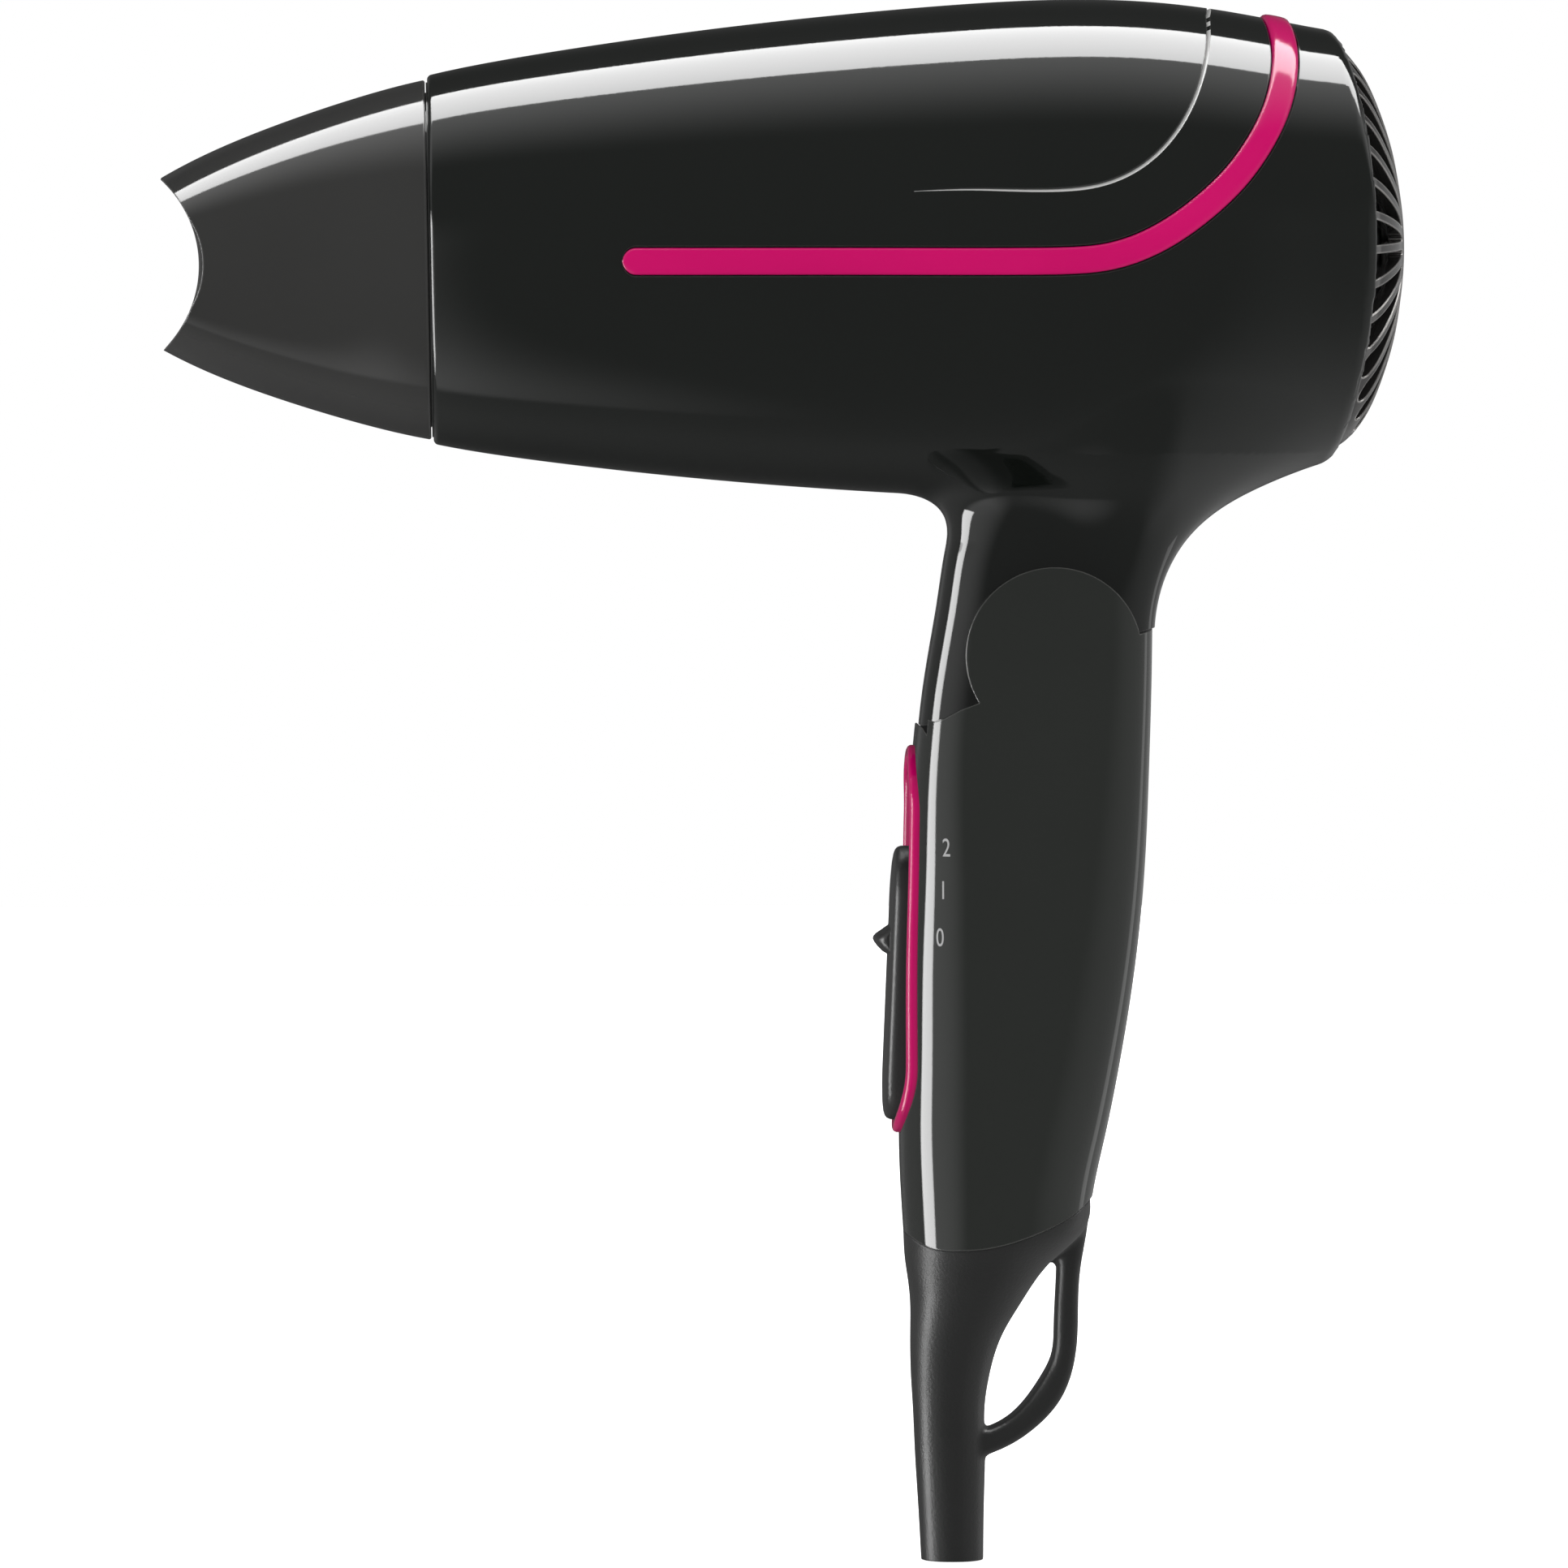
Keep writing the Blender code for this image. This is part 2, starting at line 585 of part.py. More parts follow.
COIL_TURNS, COIL_R, COIL_WIRE = 7, 19.7, 0.5
pts = []
for i in range(COIL_TURNS * 14 + 1):
    t = i / 14.0
    u = 10.0 + 5.2 * t
    p = B @ Vector((u * MM, COIL_R * MM * math.cos(2 * math.pi * t), COIL_R * MM * math.sin(2 * math.pi * t)))
    pts.append((p.x / MM, p.y / MM, p.z / MM))
node(curve("coil", pts, COIL_WIRE, res=0), "heater_coil", "nichrome")

thermostat = rod("th", 4.0, 50.8, 54.4, 20)
for o in (thermostat,):
    o.data.transform(Matrix.Translation((0, 9.0 * MM, 9.0 * MM)))
node(thermostat, "thermostat", "steel")
fuse = rod("fu", 1.6, 51.0, 58.0, 14)
fuse.data.transform(Matrix.Translation((0, -9.0 * MM, 8.0 * MM)))
node(fuse, "thermal_fuse", "white_nylon")

board = rod("bd", 10.5, 59.0, 60.4, 28)
for a in (45, 135, 225, 315):
    d = box("dio", 56.2, 59.2, -1.3, 1.3, -2.2, 2.2)
    d.data.transform(B @ Matrix.Rotation(math.radians(a), 4, "X") @ Matrix.Translation((0, 6.0 * MM, 0)))
    board = plus(board, d)
node(board, "rectifier_board", "board_tan")

motor = lathe("mo", [(0, 84.4), (3.0, 84.4), (3.0, 83.2), (9.4, 83.2), (10.0, 82.6), (10.0, 63.0),
                     (9.4, 62.4), (3.0, 62.4), (3.0, 61.2), (0, 61.2)], 28)
motor = minus(motor, rod("mob", 1.3, 70.0, 90.0, 16))
node(motor, "motor", "steel")
node(rod("sh", 1.0, 71.0, 98.0, 16), "motor_shaft", "steel", on_axis(90))

vanes = lathe("va", ring_profile(10.35, 12.0, 63.5, 82.0), 36)
ring = lathe("vr", ring_profile(28.0, 29.1, 60.0, 70.0), 36)
for k in range(7):
    v = box("vv", 64.0, 69.6, 11.6, 28.5, -0.6, 0.6)
    v.data.transform(B @ Matrix.Rotation(math.radians(360 / 7 * k + 37.7), 4, "X"))
    vanes = plus(vanes, v)
vanes = plus(vanes, ring)
node(vanes, "motor_mount_vanes", "matte_black")

hub = lathe("hub", [(1.3, 98.8), (5.0, 98.8), (8.5, 96.0), (9.0, 92.0), (9.0, 86.4), (1.3, 86.4)], 24)
for k in range(6):
    rings = []
    for r, tw, ch in ((8.0, 52, 11.0), (17.0, 38, 12.0), (26.0, 27, 12.5)):
        c, s = math.cos(math.radians(tw)), math.sin(math.radians(tw))
        q = []
        for cu, cv in ((-0.5, -0.5), (0.5, -0.5), (0.5, 0.5), (-0.5, 0.5)):
            a, b = cu * ch, cv * 1.1
            q.append((92.5 + a * s * 0.9 - b * c, a * c + b * s, r))
        rings.append(q)
    bl = skin("bl", rings)
    bl.data.transform(B @ Matrix.Rotation(math.radians(60 * k), 4, "X"))
    hub = plus(hub, bl)
node(largest(hub), "fan_impeller", "grey_plastic", on_axis(90))

lint = lathe("li", disc_profile(25.0, 111.4, 112.0), 36)
for k in range(10):
    c = box("lc", 108, 116, 7.0, 23.0, -1.6, 1.6)
    c.data.transform(B @ Matrix.Rotation(math.radians(36 * k), 4, "X"))
    lint = minus(lint, c)
node(lint, "lint_screen", "steel")

# rear grille: skirt, domed face, radial slots
gc = GRILLE_APEX_U - GRILLE_DOME_R
dome = [(0.0, GRILLE_APEX_U)]
for r in (9.6, 17.0, 24.4, 26.7):
    dome.append((r, gc + math.sqrt(GRILLE_DOME_R ** 2 - r * r)))
dome += [(26.7, 112.8), (25.4, 112.8)]
for r in (24.6, 17.0, 9.4):
    dome.append((r, gc - 0.2 + math.sqrt((GRILLE_DOME_R - 2.0) ** 2 - r * r)))
dome.append((0.0, GRILLE_APEX_U - 2.2))
rg = lathe("rg", dome, 32)
for k in range(GRILLE_SLOTS):
    c = prism_x("sl", [(-0.55, 10.4), (0.55, 10.4), (1.2, 24.0), (-1.2, 24.0)], 113, 135)
    c.data.transform(B @ Matrix.Rotation(math.radians(360 / GRILLE_SLOTS * k), 4, "X"))
    rg = minus(rg, c)
node(rg, "rear_grille", "dark_chrome")

# ========================================================================
# Handle: two half shells with hinge cheeks
# ========================================================================
HN, HP = 24, 2.7
handle = column("handle", HANDLE_STATIONS, 0.0, HN, HP)
# side outline: seam under the neck, over the hinge round, down to the boot seam
outline = ([(8.0, 9.2), (18.1, 8.95), (19.5, 8.5), (20.8, 8.9), (22.9, 10.1)]
           + arc(hx, hz, HINGE_R, 212, 14, 30)
           + [(47.3, 20.15), (49.1, 20.6), (60.0, 20.6), (60.0, -45.0)]
           + [(x, z + 0.15) for x, z in reversed(SEAM_BOOT)])
handle = both(handle, prism_y("ho", outline, -25, 25))
# free space for the neck between the cheeks
FRONT_LIP_Z = 5.4
lip = math.degrees(math.asin((hz - FRONT_LIP_Z) / SWEEP_R))
sweep = ([(5.0, 30.0), (5.0, FRONT_LIP_Z)] + arc(hx, hz, SWEEP_R, 180 + lip, 298, 16)
         + arc(hx, hz, 12.0, 298, 450, 20) + [(hx, 30.0)])
handle = minus(handle, prism_y("sw", sweep, -CHEEK_IN - 0.1, CHEEK_IN + 0.1),
               column("hin", HANDLE_STATIONS, -2.2, HN, HP, -66.0, 3.0))

# switch recess in the front wall
LEAN = math.radians(SWITCH_LEAN)
S0 = (15.4, -20.8)                   # a point on the handle front along the track
TRACK = Matrix.Translation((S0[0] * MM, 0, S0[1] * MM)) @ Matrix.Rotation(LEAN, 4, "Y")


def stadium(half, z0, z1, n=6):
    pts = []
    for i in range(n + 1):
        a = math.radians(180 * i / n)
        pts.append((half * math.cos(a), z1 - half + half * math.sin(a)))
    for i in range(n + 1):
        a = math.radians(180 + 180 * i / n)
        pts.append((half * math.cos(a), z0 + half + half * math.sin(a)))
    return pts


def track_z(z):
    return z - S0[1]


bz0, bz1 = track_z(BEZEL_Z[0]), track_z(BEZEL_Z[1])
hard_floor = prism_x("pad", stadium(BEZEL_HALF + 1.6, bz0 - 1.6, bz1 + 0.2), 2.4, 5.0, TRACK)
pad = both(hard_floor, column("padc", HANDLE_STATIONS, -1.0, HN, HP))
handle = plus(handle, pad)
handle = minus(handle, prism_x("rec", stadium(BEZEL_HALF + 0.3, bz0 - 0.3, bz1 + 0.3), -8.0, 3.6, TRACK))
handle = minus(handle, box("slot", 2.0, 8.0, -1.6, 1.6, track_z(-38.0), track_z(-14.0), TRACK))

HS = [(42.6, -6.5), (40.6, -34.0), (37.3, -46.0)]
for x, z in HS:
    bossy = both(rod_y("hb", x, z, 4.1, -20, 20, 20), column("hbc", HANDLE_STATIONS, -1.0, HN, HP))
    handle = plus(handle, bossy)
CS = [(20.9, -51.5), (31.0, -51.5)]
for x, z in CS:
    bossy = both(rod_y("cbz", x, z, 2.8, -20, -3.3, 16), column("cbc", HANDLE_STATIONS, -1.0, HN, HP))
    handle = plus(handle, bossy)
# blind seats for the pivot pin in the cheeks
handle = minus(handle, rod_y("pp", hx, hz, 2.75, -12.9, 12.9, 24))
hl = both(copy(handle), box("hl", 0, 60, -20, -0.15, -70, 40))
hr = both(handle, box("hr", 0, 60, 0.15, 20, -70, 40))
for x, z in HS:
    hl = minus(hl, rod_y("pl", x, z, 1.3, -9.0, 1.0, 14))
    hr = minus(hr, rod_y("cl", x, z, 1.5, -1.0, 20, 14), rod_y("cb", x, z, 3.0, 6.0, 20, 20))
for x, z in CS:
    hl = minus(hl, rod_y("pl2", x, z, 1.3, -9.5, 0, 14))
PIV = (hx, 0.0, hz)
node(largest(hl), "handle_shell_left", "gloss_black", PIV)
node(largest(hr), "handle_shell_right", "gloss_black", PIV)
for i, (x, z) in enumerate(HS):
    screw("handle_screw_%d" % (i + 1), x, z, 6.0, -7.5)

node(rod_y("pin", hx, hz, 2.45, -12.6, 12.6, 24), "fold_pivot_pin", "steel", PIV)
for nm, y0, y1 in (("hinge_washer_left", -9.7, -8.8), ("hinge_washer_right", 8.8, 9.7)):
    w = minus(rod_y(nm, hx, hz, 6.9, y0, y1, 28), rod_y("wb", hx, hz, 2.8, -14, 14, 24))
    node(w, nm, "white_nylon", PIV)

# switch bezel: oval ring standing a little proud of the handle front
bez = minus(prism_x("bz", stadium(BEZEL_HALF, bz0, bz1), -6.0, 3.3, TRACK),
            prism_x("bzi", stadium(BEZEL_HALF - BEZEL_WALL, bz0 + BEZEL_WALL, bz1 - BEZEL_WALL), -8.0, 6.0, TRACK))
bez = both(bez, column("bzc", HANDLE_STATIONS, 1.0, 44, HP))
node(largest(bez), "switch_bezel", "gloss_pink")

# slider: long thumb plate with one raised rib and a stem
sz0, sz1 = track_z(SLIDER_Z[0]), track_z(SLIDER_Z[1])
SH = BEZEL_HALF - BEZEL_WALL - 0.35
sl = prism_x("sl", stadium(SH, sz0, sz1), -1.3, 2.9, TRACK)
rib = prism_y("rib", [(-1.0, -2.6), (-3.3, -0.6), (-3.5, 0.0), (-3.2, 0.8), (-1.0, 1.6)], -SH * 0.8, SH * 0.8)
rib.data.transform(TRACK)
stem = box("stem", 2.5, 8.3, -1.2, 1.2, track_z(-36.0), track_z(-28.0), TRACK)
sl = plus(sl, rib, stem)
SLP = (S0[0], 0.0, S0[1])
node(sl, "switch_slider", "matte_black", SLP)

mod = box("mod", 6.4, 15.0, -6.0, 6.0, track_z(-41.0), track_z(-11.0), TRACK)
mod = minus(mod, box("mods", 5.0, 9.0, -1.6, 1.6, track_z(-38.0), track_z(-14.0), TRACK))
node(mod, "switch_module", "grey_plastic")

# ========================================================================
# Strain relief boot with hang loop, cord clamp, wiring
# ========================================================================
boot = column("boot", BOOT_STATIONS, 0.0, 28, 2.5)
under = [(0.0, -59.95)] + [(x, z - 0.15) for x, z in SEAM_BOOT] + [(60.0, -51.15), (60.0, -110.0), (0.0, -110.0)]
boot = both(boot, prism_y("bu", under, -25, 25))
loop = prism_y("lp", LOOP_OUTER + LOOP_INNER, -LOOP_HALF, LOOP_HALF)
loop = both(loop, prism_y("bu2", under, -25, 25))
boot = plus(boot, loop)
plug = column("plug", [(-64.0, 16.3, 38.0, 11.0), (-57.0, 15.9, 40.5, 12.8), (-54.6, 15.7, 41.1, 13.0)], -2.8, 24, 2.6)
plug = both(plug, box("plb", 0, 60, -20, 20, -63.5, -54.9))
boot = plus(boot, plug)
boot = minus(boot, rod_z("cord", 22.55, 0.0, CORD_BORE_R, -110, -70, 28),
             rod_z("cord2", 23.6, 0.0, CORD_BORE_R + 1.2, -72, -50, 24))
node(largest(boot), "strain_relief_boot", "soft_rubber")

clamp = box("cl", 18.4, 33.4, -3.0, 0.0, -54.0, -49.0)
clamp = minus(clamp, rod_z("cg", 26.0, 0.4, 2.4, -60, -40, 20))
for x, z in CS:
    clamp = minus(clamp, rod_y("ch", x, z, 1.3, -10, 5, 14))
node(clamp, "cord_clamp", "grey_plastic")
for i, (x, z) in enumerate(CS):
    screw("clamp_screw_%d" % (i + 1), x, z, 0.0, -8.0, 1.6)

node(curve("w1", [(34.2, -2.6, -40.0), (36.2, -2.6, -30.0), (36.0, -2.6, -18.0), (34.5, -2.6, -5.0)], 0.9, res=1),
     "handle_wires", "wire_white")
node(curve("w2", [(37.7, 0.0, 8.9), (41.5, 0.0, 14.0), (42.3, 0.0, 18.0), (40.9, 0.0, 21.8), (38.4, 0.0, 25.6),
                  (38.0, 0.0, 34.0), (33.0, 0.0, 39.0), (30.0, 0.0, 44.0), (29.0, 0.0, 50.0)], 0.9, res=1),
     "barrel_wires", "wire_white")

for ob in list(TMP.objects):
    bpy.data.objects.remove(ob, do_unlink=True)
flush()
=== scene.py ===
import json
import math

import bmesh
import bpy
import numpy as np
from mathutils import Matrix, Vector
from mathutils.kdtree import KDTree

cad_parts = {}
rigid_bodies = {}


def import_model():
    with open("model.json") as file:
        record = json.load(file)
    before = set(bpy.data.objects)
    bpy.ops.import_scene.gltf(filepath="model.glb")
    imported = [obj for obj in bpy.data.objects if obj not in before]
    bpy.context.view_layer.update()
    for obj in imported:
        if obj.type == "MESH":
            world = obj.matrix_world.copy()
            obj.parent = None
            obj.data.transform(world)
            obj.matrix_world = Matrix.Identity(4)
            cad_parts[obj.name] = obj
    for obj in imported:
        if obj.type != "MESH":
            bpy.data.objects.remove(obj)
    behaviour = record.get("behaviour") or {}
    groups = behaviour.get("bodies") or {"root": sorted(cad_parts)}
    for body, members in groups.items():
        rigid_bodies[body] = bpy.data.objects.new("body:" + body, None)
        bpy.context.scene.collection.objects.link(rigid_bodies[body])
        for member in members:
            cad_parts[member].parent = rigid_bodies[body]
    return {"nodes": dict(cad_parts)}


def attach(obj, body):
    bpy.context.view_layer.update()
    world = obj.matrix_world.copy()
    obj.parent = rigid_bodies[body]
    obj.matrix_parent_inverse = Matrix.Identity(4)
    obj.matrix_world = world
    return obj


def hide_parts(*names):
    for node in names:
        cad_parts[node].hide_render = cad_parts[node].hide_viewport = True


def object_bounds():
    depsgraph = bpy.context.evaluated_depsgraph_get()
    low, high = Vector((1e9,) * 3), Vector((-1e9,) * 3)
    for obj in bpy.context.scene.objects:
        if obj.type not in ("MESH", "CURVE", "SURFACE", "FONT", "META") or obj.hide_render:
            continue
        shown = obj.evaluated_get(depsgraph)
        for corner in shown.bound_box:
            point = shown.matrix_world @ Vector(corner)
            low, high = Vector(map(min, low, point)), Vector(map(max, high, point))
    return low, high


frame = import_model()
CAD_BOX = [list(c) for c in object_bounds()]
MM = 0.001
scene = bpy.context.scene

# ------------------------------------------------------------------ sizes, mm
BARREL_O = (-47.03, 69.44)
TILT = math.radians(1.0)
HINGE = (35.26, 17.24)
HINGE_R = 11.7
SWEEP_R = 19.7
CHEEK_IN = 10.0
WALL = 2.2
BARREL_PTS = [(0, 24.3), (1.1, 24.7), (5.4, 25.4), (9.7, 26.2), (14, 26.9), (18.4, 27.5), (22.7, 28.1),
              (27, 28.6), (31.3, 29.2), (35.6, 29.65), (40, 30.1), (44.3, 30.6), (48.6, 31.0),
              (57.2, 31.7), (61.6, 32.0), (65.9, 32.4), (74.5, 32.8), (83.2, 33.0), (87.5, 33.0),
              (91.8, 32.9), (96.1, 32.6), (100.4, 32.1), (104.8, 31.4), (109.1, 30.6), (113.4, 29.75),
              (117.7, 28.9), (120.1, 28.4)]
NECK_ST = [(3.0, 17.6, 49.6, 9.6, 3.6), (11.2, 18.4, 49.5, 9.6, 3.6), (17.7, 19.4, 49.2, 9.6, 3.6),
           (24.2, 20.5, 49.6, 9.6, 3.6), (30.7, 21.5, 50.5, 9.6, 3.5), (34.5, 22.2, 51.5, 9.9, 3.2),
           (38.0, 22.2, 53.4, 10.8, 2.9), (41.0, 21.0, 56.4, 12.4, 2.6), (44.0, 19.0, 60.0, 14.0, 2.5)]
HANDLE_ST = [(-66.0, 16.4, 39.4, 12.2, 2.6), (-60.0, 16.0, 40.4, 12.7, 2.6), (-53.6, 15.6, 41.4, 13.1, 2.6),
             (-47.1, 15.4, 42.8, 13.4, 2.7), (-37.4, 15.6, 44.7, 13.7, 2.9), (-24.4, 15.9, 46.7, 13.9, 3.2),
             (-11.4, 16.5, 47.9, 14.0, 3.6), (1.5, 17.1, 48.4, 14.0, 4.1), (14.5, 18.4, 48.7, 14.0, 4.5),
             (30.0, 19.6, 48.8, 14.0, 4.5)]
BOOT_ST = [(-104.5, 18.4, 26.7, 4.15, 2.1), (-95.7, 17.9, 26.8, 4.6, 2.2), (-89.2, 17.5, 26.9, 5.0, 2.3),
           (-82.7, 17.2, 26.9, 5.6, 2.4), (-79.5, 17.0, 27.4, 6.1, 2.4), (-76.2, 16.9, 28.2, 6.8, 2.5),
           (-73.0, 16.9, 29.5, 7.6, 2.5), (-69.8, 16.9, 31.4, 8.6, 2.5), (-66.5, 16.6, 33.5, 9.8, 2.5),
           (-63.3, 16.15, 36.2, 11.0, 2.5), (-60.0, 16.0, 39.7, 12.6, 2.6), (-54.0, 15.6, 40.6, 13.05, 2.6)]
SEAM_BOOT = [(10.0, -59.8), (16.0, -59.8), (18.4, -61.1), (22.7, -61.6), (27.05, -61.2), (29.6, -60.6),
             (33.6, -59.2), (38.5, -56.8), (40.7, -55.2), (48.0, -51.0)]
LOOP_OUT = [(40.9, -55.0), (40.4, -60.0), (39.6, -64.7), (39.3, -69.1), (39.15, -74.6), (38.6, -78.2),
            (37.0, -82.3), (33.75, -86.0), (30.1, -88.5), (24.5, -90.6)]
LOOP_IN = [(24.0, -87.1), (27.8, -86.0), (30.1, -84.7), (32.2, -82.6), (34.4, -79.4), (35.7, -76.8),
           (36.1, -72.8), (36.3, -68.0), (36.45, -63.2), (36.3, -58.0)]
BAND_PATH = [(-21.9, 69.1), (-10.0, 69.1), (10.0, 69.1), (31.0, 69.1), (36.2, 69.2), (40.5, 69.6), (44.8, 70.8),
             (49.2, 73.0), (53.4, 76.0), (57.8, 80.1), (61.3, 84.8), (63.6, 89.2), (64.9, 93.4), (65.4, 97.6),
             (65.3, 99.8)]
SWOOSH = [(15.9, 78.2), (23.2, 78.5), (36.1, 78.6), (40.4, 79.3), (44.8, 81.2), (49.1, 84.9), (52.0, 89.2),
          (53.8, 93.4), (55.0, 98.0), (55.5, 101.5)]
NOZ_PTS = [(-37.0, 10.3), (-35.1, 11.6), (-33.5, 12.5), (-31.3, 13.5), (-29.2, 14.5), (-27.0, 15.4),
           (-24.8, 16.3), (-20.5, 18.0), (-16.2, 19.5), (-11.9, 20.8), (-7.56, 22.1), (-3.24, 23.1), (0, 23.9)]
LEAN = math.radians(2.3)
TRACK_O = (15.4, -20.8)
BEZEL_Z = (-46.7, 5.0)
BEZEL_HALF = 9.2
BEZEL_WALL = 1.5
SLIDER_Z = (-45.0, -8.4)
SLOTS = 32
DOME_R, APEX_U = 49.6, 129.4


# ------------------------------------------------------------------- curves
class Spline:
    """Natural cubic through a short station table, held level past its ends."""

    def __init__(self, x, y):
        self.x, self.y = np.array(x, float), np.array(y, float)
        x, y = self.x, self.y
        n = len(x)
        h = np.diff(x)
        a = np.zeros((n, n))
        r = np.zeros(n)
        a[0, 0] = a[-1, -1] = 1
        for i in range(1, n - 1):
            a[i, i - 1], a[i, i], a[i, i + 1] = h[i - 1], 2 * (h[i - 1] + h[i]), h[i]
            r[i] = 6 * ((y[i + 1] - y[i]) / h[i] - (y[i] - y[i - 1]) / h[i - 1])
        self.m = np.linalg.solve(a, r)

    def __call__(self, t):
        t = np.clip(np.asarray(t, float), self.x[0], self.x[-1])
        i = np.clip(np.searchsorted(self.x, t) - 1, 0, len(self.x) - 2)
        h = self.x[i + 1] - self.x[i]
        a, b = (self.x[i + 1] - t) / h, (t - self.x[i]) / h
        return (a * self.y[i] + b * self.y[i + 1]
                + ((a ** 3 - a) * self.m[i] + (b ** 3 - b) * self.m[i + 1]) * h * h / 6)


class Column:
    """Rounded sections stacked along Z: front x, rear x, half width, squareness."""

    def __init__(self, st):
        z = [s[0] for s in st]
        self.z0, self.z1 = z[0], z[-1]
        self.f = [Spline(z, [s[k] for s in st]) for k in (1, 2, 3, 4)]

    def at(self, z):
        xf, xr, h, n = (f(z) for f in self.f)
        return (xf + xr) / 2, (xr - xf) / 2, h, n

    def field(self, p, off=0.0):
        cx, a, b, n = self.at(p[:, 2])
        a, b = a + off, b + off
        dx = np.abs(p[:, 0] - cx) / a + 1e-6
        dy = np.abs(p[:, 1]) / b + 1e-6
        s = dx ** n + dy ** n
        q = s ** (1 / n)
        g = np.hypot(s ** (1 / n - 1) * dx ** (n - 1) / a, s ** (1 / n - 1) * dy ** (n - 1) / b)
        return (q - 1) / g

    def solid(self, name, z0, z1, step=0.8, n=160, off=0.0):
        rows = []
        for z in np.linspace(z0, z1, max(2, int(round((z1 - z0) / step)))):
            cx, a, b, p = (float(v) for v in self.at(z))
            t = 2 * np.pi * (np.arange(n) + 0.5) / n
            c, s = np.cos(t), np.sin(t)
            # even spacing round the corners
            r = 1.0 / ((np.abs(c) / (a + off)) ** p + (np.abs(s) / (b + off)) ** p) ** (1 / p)
            rows.append(np.stack([cx + r * c, r * s, np.full(n, z)], 1))
        return skin(name, rows)


BU = np.array([p[0] for p in BARREL_PTS], float)
BR = np.array([p[1] for p in BARREL_PTS], float)
BPOLY = np.polyfit(BU / 60 - 1, BR, 7)
BPD = np.polyder(BPOLY) / 60
U_END = 118.0
R_END = float(np.polyval(BPOLY, U_END / 60 - 1))
D_END = float(np.polyval(BPD, U_END / 60 - 1))
D_0 = float(np.polyval(BPD, -1))
R_0 = float(np.polyval(BPOLY, -1))


def barrel_r(u):
    u = np.asarray(u, float)
    r = np.polyval(BPOLY, np.clip(u, 0, U_END) / 60 - 1)
    return r + np.maximum(u - U_END, 0) * D_END + np.minimum(u, 0) * D_0


def barrel_d(u):
    return np.polyval(BPD, np.clip(np.asarray(u, float), 0, U_END) / 60 - 1)


NP = np.polyfit([p[0] / 37 for p in NOZ_PTS], [p[1] for p in NOZ_PTS], 4)


def rnd(d, r):
    """Drop of a rounded edge of radius r at distance d from the end plane."""
    d = np.clip(d, 0.0, r)
    return r - np.sqrt(r * r - (r - d) ** 2)


def noz_h(u):
    u = np.asarray(u, float)
    return np.polyval(NP, u / 37) - rnd(-0.15 - u, 0.35)


NOZ_W = Spline([-38, -33, -27.2, -21.8, -16.2, -9.7, -4.3, 0],
               [22.6, 22.4, 22.1, 22.0, 22.1, 22.6, 23.35, 23.9])


def noz_w(u):
    u = np.asarray(u, float)
    return NOZ_W(np.clip(u, -38, 0)) - rnd(-0.15 - u, 0.35)


def noz_n(u):
    k = np.clip(-np.asarray(u, float) / 37, 0, 1)
    return 2.0 + 0.4 * k


CT, ST_ = math.cos(TILT), math.sin(TILT)
B = Matrix.Translation((BARREL_O[0] * MM, 0, BARREL_O[1] * MM)) @ Matrix.Rotation(-TILT, 4, "Y")


def to_uvw(p):
    dx, dz = p[:, 0] - BARREL_O[0], p[:, 2] - BARREL_O[1]
    return dx * CT + dz * ST_, p[:, 1], -dx * ST_ + dz * CT


def from_uvw(u, v, w):
    u, v, w = (np.asarray(a, float) for a in (u, v, w))
    return np.stack([BARREL_O[0] + u * CT - w * ST_, v + 0 * u, BARREL_O[1] + u * ST_ + w * CT], -1)


def f_barrel(p, off=0.0):
    u, v, w = to_uvw(p)
    # the rear rim is rounded over its last millimetre and a half
    d = np.clip(108.0 - np.hypot(p[:, 0] - (76.84 - 108.0), p[:, 2] - 72.0), 0.0, RIM_RND)
    drop = RIM_RND - np.sqrt(RIM_RND ** 2 - (RIM_RND - d) ** 2)
    drop = drop * 0.85 + (rnd(u - 0.15, 0.55) if FRONT_ROUND else 0.0)
    return (np.hypot(v, w) - barrel_r(u) - off + drop) / np.sqrt(1 + barrel_d(u) ** 2)


RIM_RND = 1.5
FRONT_ROUND = False
NECK, HANDLE, BOOT = Column(NECK_ST), Column(HANDLE_ST), Column(BOOT_ST)


def f_house(p):
    a, b = f_barrel(p), NECK.field(p)
    b = b + 0.05 * np.maximum(p[:, 2] - 45.0, 0.0) ** 2
    t = np.clip((p[:, 0] - 30) / 22, 0, 1)
    k = 7.0 + 11.0 * t * t * (3 - 2 * t)
    h = np.clip(0.5 + 0.5 * (b - a) / k, 0, 1)
    return b * (1 - h) + a * h - k * h * (1 - h)


def f_nozzle(p):
    u, v, w = to_uvw(p)
    a, b, n = noz_h(u), noz_w(u), noz_n(u)
    dx, dy = np.abs(w) / a + 1e-6, np.abs(v) / b + 1e-6
    s = dx ** n + dy ** n
    g = np.hypot(s ** (1 / n - 1) * dx ** (n - 1) / a, s ** (1 / n - 1) * dy ** (n - 1) / b)
    return (s ** (1 / n) - 1) / g


def f_handle(p):
    return HANDLE.field(p)


def grad(f, p, e=0.02):
    g = np.empty_like(p)
    for k in range(3):
        d = np.zeros(3)
        d[k] = e
        g[:, k] = (f(p + d) - f(p - d)) / (2 * e)
    return g


def onto(f, p, times=5):
    p = p.copy()
    for _ in range(times):
        g = grad(f, p)
        s = (f(p) / np.maximum((g * g).sum(1), 1e-6))[:, None] * g
        ln = np.linalg.norm(s, axis=1, keepdims=True)
        p -= s * np.minimum(1, 1.5 / np.maximum(ln, 1e-9))
    return p


